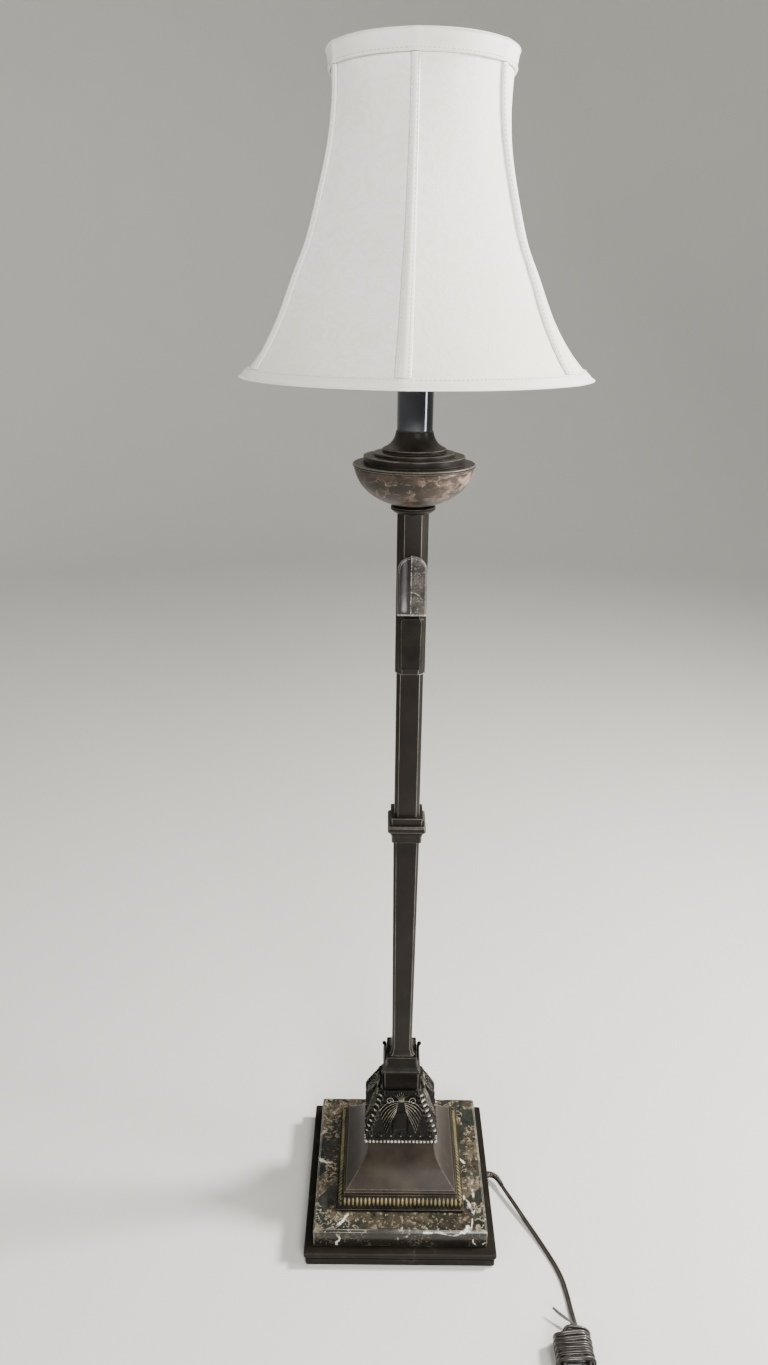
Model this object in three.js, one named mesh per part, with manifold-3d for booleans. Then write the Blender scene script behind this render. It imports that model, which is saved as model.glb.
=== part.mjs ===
// A slim buffet lamp: square stone base, cast foot, tapering square column, turned bowl and neck,
// and a six-panelled bell shade carried on a harp. Millimetres, +Z up, the floor at z = 0.
import * as THREE from "three";
import { mergeVertices } from "three/addons/utils/BufferGeometryUtils.js";
import Module from "manifold-3d";

const wasm = await Module();
wasm.setup();

// ---- Driving dimensions ---------------------------------------------------------------------

const GAP = 0.3; // clearance kept between two pieces that touch
const FELT = { width: 170, thickness: 1.5 };
const PLINTH = { width: 179, foot: 176, bottom: 1.8, top: 16.7 };
const SLAB = { width: 162, bottom: 17, top: 36, bevel: 1.8 };
const ROD = { radius: 5, bore: 5.5, bottom: -32.5, top: 762 }; // heights from the slab's top
const RECESS = { radius: 16, ceiling: 11 };
const LEAD = { diameter: 3.8, height: 7, exitY: 9 };
const CHANNEL = { half: 3, headroom: 2.4 }; // the lead's way out, cut in the plinth's underside
const BUSHING = { bore: 2.3, flange: 3.9, nose: 3.3, back: 88.3, edge: 89.6, front: 90.3 };
const SADDLE = { height: 754, thickness: 2, reach: 24, depth: 12, prongTop: 766.5, prong: 3.4 };
const HARP = { wire: 3.6, bulge: 50, top: 930, plate: 1.8, plateRadius: 7, stud: 3, studTop: 944 };
const SHELL = { radius: 17, wall: 0.7, bottom: 776.3, top: 818 };
const LINER = { radius: 15.9, wall: 1 };
const SCREW = { radius: 14.4, wall: 0.6, bottom: 788.4, top: 816.5, interior: 788 };
const KNOB = { height: 782, shaft: 2, radius: 6, start: 14.9, back: 20, reach: 32, round: 1.4 };
const SHADE = { panels: 6, steps: 6, firstSeam: -95.5, cloth: 1.2, flatness: 0.55 };
const HOLLOW = { border: 50, pyramid: 38, block: 27, column: 7.6 }; // radii inside the castings
const WIRE = { hoop: 2.4, rib: 2, inset: 4.4, low: 0.0425, high: 0.98 };
const SPIDER = { hub: 932.6, thickness: 1.8, radius: 11, arms: [30, 150, 270] };
const SLEEVE = { front: -12, bottom: 525, top: 652.6 };
const PLAQUE = { half: 9.8, bottom: 576.4, spring: 611, flat: 0.6, dome: 2.6, rim: 1.5 };
const BRACKET = { bottom: 530, top: 572, low: 9.6, high: 10.3, crown: 9.4, bevel: 2.4, depth: 2.6 };
const NUT = { corner: 9, boreCorner: 6.2, bottom: -31.6, top: -25.6 };
const FERRULE = { bore: 2.9, radius: 4.1, bottom: 758, top: 772 };
const TRIM = { half: 2.6, seam: 1.5, hem: 1.8, band: 2.4, under: 0.5 }; // degrees, then distances outwards

// The bell's middle-of-panel radius against height over the slab, from the hem up.
const BELL = [
  [125.2, 750.4], [116.6, 759], [105.9, 772], [94.5, 791], [83.5, 816.5], [74.3, 838],
  [66.7, 866], [61.1, 892], [58.8, 915], [59.2, 936], [61, 951],
];

// The free stretch of the lead, from the strain relief to the hank, as laid by hand.
const LEAD_ROUTE = [
  [90.6, 9, 7], [94.6, 8.9, 7], [99.6, 5.6, 6.8], [105.6, -6.6, 6], [114.3, -23.6, 4.8], [122.8, -40.3, 3.6],
  [131, -56.1, 2.6], [138.8, -72.6, 2.1], [145.2, -87.8, 2.1], [149.1, -101.5, 2.1], [151, -115.9, 2.1],
  [151.9, -127.9, 2.1], [153, -137.7, 2.1], [154.2, -147, 2.1], [156.2, -160, 2.1], [156.4, -172, 2.1],
];
const RELIEF = { length: 20, wide: 3.3, narrow: 2.3 };
const HANK = { x: 146, far: -152.3, run: 63.4, fold: 16.2, bottom: 1.3, top: 18.6, tie: 1.1, tieHalf: 1.6 };
const TAIL_ROUTE = [
  [145, -246.6, 5], [136, -248, 3.4], [128, -247.9, 2.2], [120, -245.6, 2.2],
  [113.6, -240.6, 3.4], [110.2, -234.8, 5.6], [109.5, -229.4, 6.8],
];
const PLUG = {
  x: 109.5, back: -229, front: -202, width: 20, height: 13, bottom: 0.3, neck: 7, grip: 9, chamfer: 2,
};
const BLADE = { reach: 16, width: 6.3, thickness: 1.5, apart: 12.7 };

// ---- Finishes -------------------------------------------------------------------------------

const finish = (color, roughness, metalness = 0) =>
  new THREE.MeshStandardMaterial({ color, roughness, metalness });

const FINISH = {
  felt: finish(0x17201a, 0.95),
  plinth: finish(0x16140f, 0.5),
  marble: finish(0x3f3c2e, 0.35),
  bronze: finish(0x3a3120, 0.45, 0.6),
  column: finish(0x1f1a17, 0.5, 0.3),
  stone: finish(0x5a4636, 0.25),
  gunmetal: finish(0x23252b, 0.2, 0.8),
  steel: finish(0x9a9a96, 0.35, 0.9),
  brass: finish(0xa9894a, 0.35, 0.9),
  liner: finish(0x4a3a2c, 0.9),
  phenolic: finish(0x15120f, 0.5),
  glass: finish(0xf2efe6, 0.3),
  rubber: finish(0x18120e, 0.6),
  cloth: finish(0xd9d2ba, 0.9),
  trim: finish(0xcfc6a9, 0.85),
};

// ---- Shape helpers --------------------------------------------------------------------------

const radians = THREE.MathUtils.degToRad;
const point = (x, y, z) => new THREE.Vector3(x, y, z);
const points = (list) => list.map((xyz) => point(...xyz));

/** Six times the signed volume that a triangle soup encloses. */
function signedVolume(position) {
  const [a, b, c] = [point(), point(), point()];
  let total = 0;
  for (let i = 0; i < position.count; i += 3) {
    a.fromBufferAttribute(position, i);
    b.fromBufferAttribute(position, i + 1);
    c.fromBufferAttribute(position, i + 2);
    total += a.dot(b.cross(c));
  }
  return total;
}

/** The geometry with every face turned outwards. */
function outward(geometry) {
  const soup = geometry.index ? geometry.toNonIndexed() : geometry;
  const position = soup.getAttribute("position");
  if (signedVolume(position) < 0) {
    const xyz = position.array;
    for (let i = 0; i < xyz.length; i += 9) {
      for (let k = 3; k < 6; k += 1) {
        [xyz[i + k], xyz[i + k + 3]] = [xyz[i + k + 3], xyz[i + k]];
      }
    }
  }
  soup.computeVertexNormals();
  return soup;
}

/** A geometry from loose corners, three to a triangle. */
function fromCorners(corners) {
  const geometry = new THREE.BufferGeometry().setFromPoints(corners);
  return outward(geometry);
}

/** A grid of corners as triangles; each row joins the next, and `wrap` closes the rows. */
function skin(rows, wrap) {
  const corners = [];
  const width = rows[0].length;
  for (let i = 0; i + 1 < rows.length; i += 1) {
    for (let j = 0; j < (wrap ? width : width - 1); j += 1) {
      const next = (j + 1) % width;
      const [a, b, c, d] = [rows[i][j], rows[i][next], rows[i + 1][next], rows[i + 1][j]];
      corners.push(a, b, c, a, c, d);
    }
  }
  return corners;
}

/** A solid through closed rings; `bored` joins the last ring back to the first. */
function loft(rings, bored) {
  if (bored) {
    return fromCorners(skin([...rings, rings[0]], true));
  }
  const corners = skin(rings, true);
  const [first, last] = [rings[0], rings[rings.length - 1]];
  for (let j = 1; j + 1 < first.length; j += 1) {
    corners.push(first[0], first[j + 1], first[j], last[0], last[j], last[j + 1]);
  }
  return fromCorners(corners);
}

/** A thin wall between two grids of the same size, closed along its four edges. */
function wall(outer, inner) {
  const last = outer.length - 1;
  const across = outer[0].length - 1;
  const side = (j) => skin([outer.map((row) => row[j]), inner.map((row) => row[j])], false);
  const flipped = (corners) => corners.slice().reverse();
  return fromCorners([
    ...skin(outer, false),
    ...flipped(skin(inner, false)),
    ...flipped(skin([outer[0], inner[0]], false)),
    ...skin([outer[last], inner[last]], false),
    ...side(0),
    ...flipped(side(across)),
  ]);
}

/** A level square with its corners cut or rounded, `perCorner` points to a corner. */
function squareRing(width, corner, height, perCorner) {
  const centre = width / 2 - corner;
  const ring = [];
  for (let k = 0; k < 4; k += 1) {
    const middle = radians(45 + 90 * k);
    const [cx, cy] = [Math.sign(Math.cos(middle)) * centre, Math.sign(Math.sin(middle)) * centre];
    for (let i = 0; i < perCorner; i += 1) {
      const angle = radians(90 * k + (90 * i) / (perCorner - 1));
      ring.push(point(cx + corner * Math.cos(angle), cy + corner * Math.sin(angle), height));
    }
  }
  return ring;
}

/** A level circle whose points answer those of squareRing. */
function roundRing(radius, height, perCorner) {
  return Array.from({ length: 4 * perCorner }, (_, i) => {
    const angle = radians((90 / perCorner) * (i + 0.5));
    return point(radius * Math.cos(angle), radius * Math.sin(angle), height);
  });
}

/** A square moulding from [height, width] levels, with a bore that may taper. */
function squareMoulding(levels, corner = 1, bore = ROD.bore, topBore = bore) {
  const rings = levels.map(([height, width]) => squareRing(width, corner, height, 2));
  const [bottom, top] = [levels[0][0], levels[levels.length - 1][0]];
  rings.push(roundRing(topBore, top, 2), roundRing(bore, bottom, 2));
  return loft(rings, true);
}

/** A turning about Z from [radius, height] points; it closes on itself or on the axis. */
function turned(profile, segments = 32) {
  const onAxis = profile[0][0] === 0;
  const outline = onAxis ? profile : [...profile, profile[0]];
  const lathe = new THREE.LatheGeometry(outline.map(([r, h]) => new THREE.Vector2(r, h)), segments);
  lathe.rotateX(Math.PI / 2);
  return tidy(lathe);
}

/** The geometry without the faces that have no area, such as those at a pole. */
function tidy(geometry) {
  const soup = geometry.toNonIndexed();
  const position = soup.getAttribute("position");
  const kept = [];
  for (let i = 0; i < position.count; i += 3) {
    const [a, b, c] = [0, 1, 2].map((k) => point().fromBufferAttribute(position, i + k));
    if (a.distanceTo(b) > 1e-4 && b.distanceTo(c) > 1e-4 && c.distanceTo(a) > 1e-4) {
      kept.push(a, b, c);
    }
  }
  return fromCorners(kept);
}

/** A turning with the rod's bore through it, from its outer [radius, height] points. */
function boredTurning(profile, bore = ROD.bore, segments = 32) {
  const [bottom, top] = [profile[0][1], profile[profile.length - 1][1]];
  return turned([...profile, [bore, top], [bore, bottom]], segments);
}

/** A round bar along a curve through the given points. */
function bar(route, diameter, steps, sides = 8) {
  const outline = new THREE.Shape();
  for (let i = 0; i < sides; i += 1) {
    const angle = (2 * Math.PI * i) / sides;
    const [x, y] = [(diameter / 2) * Math.cos(angle), (diameter / 2) * Math.sin(angle)];
    if (i === 0) {
      outline.moveTo(x, y);
    } else {
      outline.lineTo(x, y);
    }
  }
  const extrudePath = new THREE.CatmullRomCurve3(points(route), false, "centripetal");
  return outward(new THREE.ExtrudeGeometry(outline, { steps, extrudePath, bevelEnabled: false }));
}

/** A plain upright cylinder standing on `bottom`. */
function post(radius, bottom, top, segments = 16) {
  return turned([[0, bottom], [radius, bottom], [radius, top], [0, top]], segments);
}

/** A box between two corners. */
function block(low, high) {
  const size = high.map((value, k) => value - low[k]);
  const box = new THREE.BoxGeometry(...size);
  box.translate(...low.map((value, k) => value + size[k] / 2));
  return outward(box);
}

/** The geometry as a solid that can be joined and cut. */
function solid(geometry) {
  const bare = geometry.clone();
  bare.deleteAttribute("normal");
  bare.deleteAttribute("uv");
  const merged = mergeVertices(bare, 1e-4);
  return new wasm.Manifold(
    new wasm.Mesh({
      numProp: 3,
      vertProperties: new Float32Array(merged.getAttribute("position").array),
      triVerts: new Uint32Array(merged.index.array),
    }),
  );
}

/** A joined or cut solid as a geometry again. */
function shaped(manifold) {
  const mesh = manifold.getMesh();
  const geometry = new THREE.BufferGeometry();
  geometry.setAttribute("position", new THREE.BufferAttribute(mesh.vertProperties, 3));
  geometry.setIndex(new THREE.BufferAttribute(mesh.triVerts, 1));
  return outward(geometry);
}

const cut = (body, ...tools) => shaped(tools.reduce((left, t) => left.subtract(solid(t)), solid(body)));
const joined = (body, ...more) => shaped(more.reduce((sum, m) => sum.add(solid(m)), solid(body)));

/** Adds a named piece to a group. */
function piece(group, name, geometry, material) {
  const mesh = new THREE.Mesh(geometry, material);
  mesh.name = name;
  group.add(mesh);
}

// ---- Base: felt, plinth and slab ------------------------------------------------------------

/** The moulded plinth, with the nut's recess and the lead's channel in its underside. */
function plinth() {
  const levels = [
    [PLINTH.bottom, PLINTH.foot], [8.4, PLINTH.foot], [9.2, 172.5], [10.6, 172.5],
    [11.6, PLINTH.width - 1], [12.4, PLINTH.width], [15.9, PLINTH.width], [PLINTH.top, PLINTH.width - 1.4],
  ];
  const recess = post(RECESS.radius, 0, RECESS.ceiling, 24);
  const { half, headroom } = CHANNEL;
  const channel = block(
    [0, LEAD.exitY - half, 0],
    [PLINTH.width, LEAD.exitY + half, LEAD.height + headroom],
  );
  return cut(squareMoulding(levels, 1.2), joined(recess, channel));
}

function buildBase(lamp) {
  const felt = loft([0, FELT.thickness].map((height) => squareRing(FELT.width, 3, height, 3)), false);
  const { width, bevel, bottom, top } = SLAB;
  const slab = squareMoulding(
    [[bottom, width - bevel], [bottom + 0.8, width], [top - bevel, width], [top, width - 2 * bevel]],
    0.8,
  );
  piece(lamp, "felt_pad", felt, FINISH.felt);
  piece(lamp, "plinth", plinth(), FINISH.plinth);
  piece(lamp, "marble_slab", slab, FINISH.marble);
}

// ---- Foot: border, pyramid, beads, leaf block and column socket -----------------------------

function buildFoot(stem) {
  const border = [
    [GAP, 121], [3, 121], [3.6, 118], [6.5, 117.2], [9.6, 114.6], [12.1, 110.3], [12.5, 108.6], [14.4, 108.6],
  ];
  const pyramid = [
    [14.7, 107], [16.9, 107], [17.3, 103.8], [18.1, 103], [21.6, 96], [25.7, 89.3], [30.2, 81.6],
    [35.4, 74.9], [42.7, 67.3], [49.6, 64.8], [56.4, 64],
  ];
  const beads = [[56.8, 64.2], [57.5, 66], [60.5, 66], [61.2, 64.2]];
  const leaves = [
    [61.5, 64], [66.5, 64.6], [70, 65], [75, 61.4], [80, 57.2], [86, 51.6], [92, 45.8], [98, 40.6],
    [106, 35.6],
  ];
  const socket = [
    [106.3, 32], [125, 32], [126, 35], [128.2, 35], [131, 31], [134.6, 28.5], [141.7, 28],
  ];
  piece(stem, "gadroon_border", squareMoulding(border, 1, HOLLOW.border), FINISH.bronze);
  piece(stem, "pyramid_foot", squareMoulding(pyramid, 0.7, HOLLOW.pyramid, HOLLOW.block), FINISH.column);
  piece(stem, "bead_frame", squareMoulding(beads, 0.8, HOLLOW.block), FINISH.bronze);
  piece(stem, "leaf_block", squareMoulding(leaves, 1.5, HOLLOW.block, HOLLOW.column), FINISH.bronze);
  piece(stem, "column_socket", squareMoulding(socket, 0.8), FINISH.bronze);
}

// ---- Column ---------------------------------------------------------------------------------

/** The arched stone set on the sleeve's front, domed towards its middle. */
function plaque() {
  const { half, bottom, spring, flat, dome, rim } = PLAQUE;
  const arch = new THREE.Shape();
  arch.moveTo(-half, bottom);
  arch.lineTo(half, bottom);
  arch.lineTo(half, spring);
  arch.absarc(0, spring, half, 0, Math.PI, false);
  const bevel = { bevelEnabled: true, bevelThickness: dome, bevelSize: rim, bevelSegments: 2 };
  const stone = new THREE.ExtrudeGeometry(arch, { depth: flat, curveSegments: 7, ...bevel });
  stone.deleteAttribute("uv");
  stone.rotateX(Math.PI / 2);
  stone.translate(0, SLEEVE.front - GAP - dome, 0);
  return tidy(mergeVertices(stone, 1e-4));
}

/** The tapered plate under the stone. */
function bracket() {
  const { bottom, top, low, high, crown, bevel, depth } = BRACKET;
  const [back, front] = [SLEEVE.front - GAP, SLEEVE.front - GAP - depth];
  const ring = (z, half) => points([
    [-half, back, z], [bevel - half, front, z], [half - bevel, front, z], [half, back, z],
  ]);
  return loft([ring(bottom, low), ring(top - 3, high), ring(top, crown)], false);
}

function buildColumn(stem) {
  const lower = [[142, 24], [144, 21], [149, 18.8], [160, 18.6], [260, 20.1], [354, 21.7], [371.7, 22]];
  const ridge = [[372, 25.5], [377, 25.5], [380.6, 27.4], [383.6, 32.2], [387.6, 32.2], [388.7, 30]];
  const band = [[389, 26], [390.4, 26], [395.7, 27.4]];
  const width = -2 * SLEEVE.front;
  const sleeve = squareMoulding([[SLEEVE.bottom, width], [SLEEVE.top, width]], 5.5, HOLLOW.column);
  piece(stem, "lower_column", squareMoulding(lower, 2.2, HOLLOW.column), FINISH.column);
  piece(stem, "collar_ridge", squareMoulding(ridge, 1), FINISH.bronze);
  piece(stem, "collar_band", squareMoulding(band, 1), FINISH.bronze);
  piece(stem, "upper_column", squareMoulding([[396, 21.4], [524.7, 21.4]], 3, HOLLOW.column), FINISH.column);
  piece(stem, "capital_sleeve", sleeve, FINISH.column);
  piece(stem, "plaque_bracket", bracket(), FINISH.bronze);
  piece(stem, "arched_plaque", plaque(), FINISH.stone);
}

// ---- Bowl, flare and neck -------------------------------------------------------------------

function buildBowl(stem) {
  const collar = [[14.5, 653], [17, 655], [17, 657], [14.5, 658.7]];
  const bowl = [
    [15.5, 659], [24.6, 662], [31.5, 666], [37, 670.6], [41, 676], [43.6, 681.6], [45, 686.6],
  ];
  const rim = [[45.2, 686.9], [45.8, 687.4], [45.8, 688.9], [45.2, 689.4]];
  const discs = [[37.8, 689.7], [37.8, 694.8], [30, 695], [30, 697.3]];
  const check = [[14.6, 750.3], [15.6, 751.4], [15.6, 753.6]];
  const flare = [[23.7, 697.6], [23.7, 700], [18.6, 703], [15.2, 707.6], [13.6, 713]];
  piece(stem, "bowl_collar", boredTurning(collar, ROD.bore, 20), FINISH.bronze);
  piece(stem, "stone_bowl", boredTurning(bowl, ROD.bore, 32), FINISH.stone);
  piece(stem, "rim_ring", boredTurning(rim, ROD.bore, 32), FINISH.column);
  piece(stem, "stepped_discs", boredTurning(discs, ROD.bore, 32), FINISH.column);
  piece(stem, "flare", boredTurning(flare, ROD.bore, 28), FINISH.column);
  piece(stem, "neck_tube", boredTurning([[13.3, 713.3], [13.3, 750]], 12, 28), FINISH.gunmetal);
  piece(stem, "check_ring", boredTurning(check, ROD.bore, 24), FINISH.brass);
}

// ---- Rod, nut, socket and bulb --------------------------------------------------------------

/** The hexagonal nut that draws the whole stack together from below. */
function lockNut() {
  const { corner, boreCorner, bottom, top } = NUT;
  return boredTurning([[corner, bottom], [corner, top]], boreCorner, 6);
}

/** A turned sleeve with the switch shaft's hole through its front. */
function drilled(sleeve) {
  const hole = post(KNOB.shaft + 1.2, 0, KNOB.back, 12);
  hole.rotateX(Math.PI / 2);
  hole.translate(0, 0, KNOB.height);
  return cut(sleeve, hole);
}

function buildSocket(stem) {
  const cap = [
    [ROD.bore, 756.4], [8, 756.4], [8.6, 760], [16, 766], [17.6, 770], [17.6, 776], [16.4, 776],
    [15.4, 768.4], [7.4, 763.4], [ROD.bore, 763.4],
  ];
  const rod = [[0, ROD.bottom], [ROD.radius, ROD.bottom], [ROD.radius, ROD.top], [0, ROD.top]];
  const tube = ({ radius, wall: thick }, low, high) =>
    turned([[radius - thick, low], [radius, low], [radius, high], [radius - thick, high]], 24);
  const { bottom, top } = SHELL;
  const interior = post(SCREW.radius, bottom + 1.4, SCREW.interior, 24);
  piece(stem, "threaded_rod", turned(rod, 12), FINISH.steel);
  piece(stem, "lock_nut", lockNut(), FINISH.steel);
  piece(stem, "socket_cap", turned(cap, 20), FINISH.brass);
  piece(stem, "socket_shell", drilled(tube(SHELL, bottom, top)), FINISH.brass);
  piece(stem, "socket_liner", drilled(tube(LINER, bottom + 1, top - 1)), FINISH.liner);
  piece(stem, "socket_interior", interior, FINISH.phenolic);
  piece(stem, "screw_shell", tube(SCREW, SCREW.bottom, SCREW.top), FINISH.brass);
}

/** The knob with its shaft, turned about the -Y axis. */
function switchKnob() {
  const { shaft, radius, start, back, reach, round } = KNOB;
  const outline = [
    [0, start], [shaft, start], [shaft, back], [radius - 1, back + 0.4], [radius, back + round + 0.2],
    [radius, reach - round], [radius - round, reach], [0, reach],
  ];
  const knob = turned(outline, 16);
  knob.rotateX(Math.PI / 2);
  knob.translate(0, 0, KNOB.height);
  return knob;
}

function buildBulb(stem) {
  const base = [[0, 789.2], [5, 789.8], [9, 792.4], [13.1, 794], [13.1, 815.4], [0, 815.4]];
  const glass = [
    [0, 815.8], [12.6, 815.8], [14.2, 824], [20, 838], [27, 851], [30, 864], [28.6, 877], [22.4, 889],
    [12, 896], [0, 898],
  ];
  piece(stem, "bulb_base", turned(base, 20), FINISH.steel);
  piece(stem, "bulb_glass", turned(glass, 20), FINISH.glass);
  piece(stem, "switch_knob", switchKnob(), FINISH.phenolic);
}

// ---- Harp and finial ------------------------------------------------------------------------

/** The saddle strap, with an upright prong at each end for a harp leg. */
function saddle() {
  const { height, thickness, reach, depth, prongTop, prong } = SADDLE;
  const [end, side, half] = [reach + prong / 2, depth / 2, prong / 2];
  const strap = block([-end, -side, height], [end, side, height + thickness]);
  const prongs = [-reach, reach].map((x) => block([x - half, -half, height], [x + half, half, prongTop]));
  return cut(joined(strap, ...prongs), post(ROD.bore, height - 1, height + thickness + 1, 16));
}

/** The wire loop from leg to leg, with the plate and stud that carry the shade. */
function harp() {
  const foot = SADDLE.prongTop + GAP;
  const leg = [
    [SADDLE.reach, 0, foot], [SADDLE.reach, 0, 778], [SADDLE.reach, 0, 790], [31, 0, 803], [43, 0, 822],
    [HARP.bulge, 0, 848], [47, 0, 876], [37, 0, 902], [22, 0, 921], [8, 0, HARP.top - 0.6],
  ];
  const mirrored = leg.map(([x, y, z]) => [-x, y, z]).reverse();
  const loop = bar([...leg, [0, 0, HARP.top - 0.2], ...mirrored], HARP.wire, 36, 6);
  const plate = post(HARP.plateRadius, HARP.top - 1, HARP.top + HARP.plate, 20);
  const stud = post(HARP.stud, HARP.top, HARP.studTop, 12);
  return joined(loop, plate, stud);
}

/** A ring that slips over the joint between a prong and a harp leg. */
function ferrule(side) {
  const { bore, radius, bottom, top } = FERRULE;
  const sleeve = turned([[bore, bottom], [radius, bottom], [radius, top], [bore, top]], 16);
  sleeve.translate(side * SADDLE.reach, 0, 0);
  return sleeve;
}

function finial() {
  return turned(
    [[0, 946], [3.5, 946], [3.5, 934.9], [7.6, 934.9], [7.6, 937.4], [4.8, 939.6], [5.4, 944.4], [8.4, 949.4],
      [8, 954.6], [5.4, 958.4], [2.6, 960.4], [0, 961]],
    20,
  );
}

function buildHarp(stem) {
  piece(stem, "harp_saddle", saddle(), FINISH.brass);
  piece(stem, "harp", harp(), FINISH.brass);
  piece(stem, "ferrule_left", ferrule(-1), FINISH.brass);
  piece(stem, "ferrule_right", ferrule(1), FINISH.brass);
  piece(stem, "finial", finial(), FINISH.bronze);
}

// ---- Shade ----------------------------------------------------------------------------------

// Shares of the bell's outline, hem to rim, where its rings of corners lie.
const HEM_SHARES = [0, 0.0425, 0.085];
const SIDE_SHARES = [0.16, 0.26, 0.38, 0.5, 0.64, 0.78];
const RIM_SHARES = [0.915, 1];
const BELL_CURVE = new THREE.SplineCurve(BELL.map(([r, h]) => new THREE.Vector2(r, h)));
const PANEL_ANGLE = 360 / SHADE.panels;

/** How flat the panels are at a share of the bell's height: round at hem and band, flat between. */
const flatness = (share) => SHADE.flatness * Math.sin(Math.PI * Math.min(1, Math.max(0, share)));

/** A point on the bell at a share of its outline, an azimuth in degrees and a distance inwards. */
function bellPoint(share, azimuth, inset) {
  const { x: radius, y: height } = BELL_CURVE.getPoint(share);
  const pastSeam = (((azimuth - SHADE.firstSeam) % PANEL_ANGLE) + PANEL_ANGLE) % PANEL_ANGLE;
  const fromMiddle = pastSeam - PANEL_ANGLE / 2;
  const corner = 1 / Math.cos(radians(fromMiddle)) - 1;
  const reach = radius * (1 + flatness(share) * corner) - inset;
  const angle = radians(azimuth);
  return point(reach * Math.cos(angle), reach * Math.sin(angle), height);
}

/** The azimuth of a seam, in degrees. */
const seamAzimuth = (index) => SHADE.firstSeam + PANEL_ANGLE * index;

/** A patch of the bell as a wall between two insets. */
function bellPatch(shares, azimuths, outer, inner) {
  const grid = (inset) => shares.map((share) => azimuths.map((azimuth) => bellPoint(share, azimuth, inset)));
  return wall(grid(outer), grid(inner));
}

/** Evenly spaced numbers from `low` to `high`. */
const spaced = (low, high, steps) =>
  Array.from({ length: steps + 1 }, (_, i) => low + ((high - low) * i) / steps);

/** A band right round the bell between two insets. */
function bellBand(shares, outer, inner) {
  const azimuths = spaced(SHADE.firstSeam, SHADE.firstSeam + 360, SHADE.panels * SHADE.steps).slice(0, -1);
  const ring = (share, inset) => azimuths.map((azimuth) => bellPoint(share, azimuth, inset));
  const up = shares.map((share) => ring(share, outer));
  const down = shares.toReversed().map((share) => ring(share, inner));
  return loft([...up, ...down], true);
}

/** A wire hoop inside the bell at a share of its outline. */
function hoop(share) {
  const { x: middle, y: height } = BELL_CURVE.getPoint(share);
  const radius = middle - WIRE.inset;
  const section = spaced(0, 2 * Math.PI, 4).slice(0, -1).map((angle) => [
    radius + (WIRE.hoop / 2) * Math.cos(angle),
    height + (WIRE.hoop / 2) * Math.sin(angle),
  ]);
  return turned(section, 24);
}

/** The wire cage: two hoops joined by a rib under each seam. */
function cage() {
  const ribs = spaced(0, SHADE.panels - 1, SHADE.panels - 1).map((index) => {
    const along = spaced(WIRE.low, WIRE.high, 7).map((share) =>
      bellPoint(share, seamAzimuth(index), WIRE.inset).toArray(),
    );
    return bar(along, WIRE.rib, 7, 4);
  });
  return joined(hoop(WIRE.low), ...ribs, hoop(WIRE.high));
}

/** The hub washer with three arms that reach out and up to the top hoop. */
function spider() {
  const { x: middle, y: rim } = BELL_CURVE.getPoint(WIRE.high);
  const { hub, thickness, radius } = SPIDER;
  const level = hub + thickness / 2;
  const end = middle - WIRE.inset - WIRE.hoop / 2 - GAP;
  const arms = SPIDER.arms.map((azimuth) => {
    const route = [[radius - 3, 0, level], [40, 0, level], [50, 0, level + 4], [end, 0, rim]];
    const arm = bar(route, WIRE.hoop, 7, 5);
    return cut(arm.rotateZ(radians(azimuth)), hoop(WIRE.high));
  });
  const bore = HARP.stud + 0.5;
  const washer = turned([[bore, hub], [radius, hub], [radius, hub + thickness], [bore, hub + thickness]], 20);
  return joined(washer, ...arms);
}

function buildShade(stem) {
  const cloth = [...HEM_SHARES, ...SIDE_SHARES, ...RIM_SHARES];
  const seamLine = [0.095, ...SIDE_SHARES, 0.905];
  for (let index = 0; index < SHADE.panels; index += 1) {
    const seam = seamAzimuth(index);
    const azimuths = spaced(seam + 0.2, seam + PANEL_ANGLE - 0.2, SHADE.steps);
    piece(stem, `shade_panel_${index + 1}`, bellPatch(cloth, azimuths, 0, SHADE.cloth), FINISH.cloth);
    const strip = [seam - TRIM.half, seam, seam + TRIM.half];
    piece(stem, `seam_trim_${index + 1}`, bellPatch(seamLine, strip, -TRIM.seam, -TRIM.under), FINISH.trim);
  }
  piece(stem, "hem_trim", bellBand(HEM_SHARES, -TRIM.hem, -TRIM.under), FINISH.trim);
  piece(stem, "top_band", bellBand(RIM_SHARES, -TRIM.band, -TRIM.under), FINISH.trim);
  piece(stem, "shade_cage", cage(), FINISH.steel);
  piece(stem, "spider", spider(), FINISH.steel);
}

// ---- Lead, hank and plug --------------------------------------------------------------------

/** The outline of the folded lead: straight runs with round ends. */
function hankSolid(margin) {
  const radius = HANK.fold + margin;
  const farCentre = HANK.far - HANK.fold;
  const outline = new THREE.Shape();
  outline.absarc(HANK.x, farCentre, radius, 0, Math.PI, false);
  outline.absarc(HANK.x, farCentre - HANK.run, radius, Math.PI, 2 * Math.PI, false);
  const depth = HANK.top - HANK.bottom + 2 * margin;
  const hank = new THREE.ExtrudeGeometry(outline, { depth, curveSegments: 8, bevelEnabled: false });
  hank.translate(0, 0, HANK.bottom - margin);
  return outward(hank);
}

/** The wire tie round the middle of the hank. */
function hankTie() {
  const middle = HANK.far - HANK.fold - HANK.run / 2;
  const frame = (margin, half) =>
    block(
      [HANK.x - HANK.fold - margin, middle - half, HANK.bottom - margin],
      [HANK.x + HANK.fold + margin, middle + half, HANK.top + margin],
    );
  return cut(frame(HANK.tie, HANK.tieHalf), frame(GAP, 2 * HANK.tieHalf));
}

const LEAD_CURVE = new THREE.CatmullRomCurve3(points(LEAD_ROUTE), false, "centripetal");
const LEAD_LENGTH = LEAD_CURVE.getLength();

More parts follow.
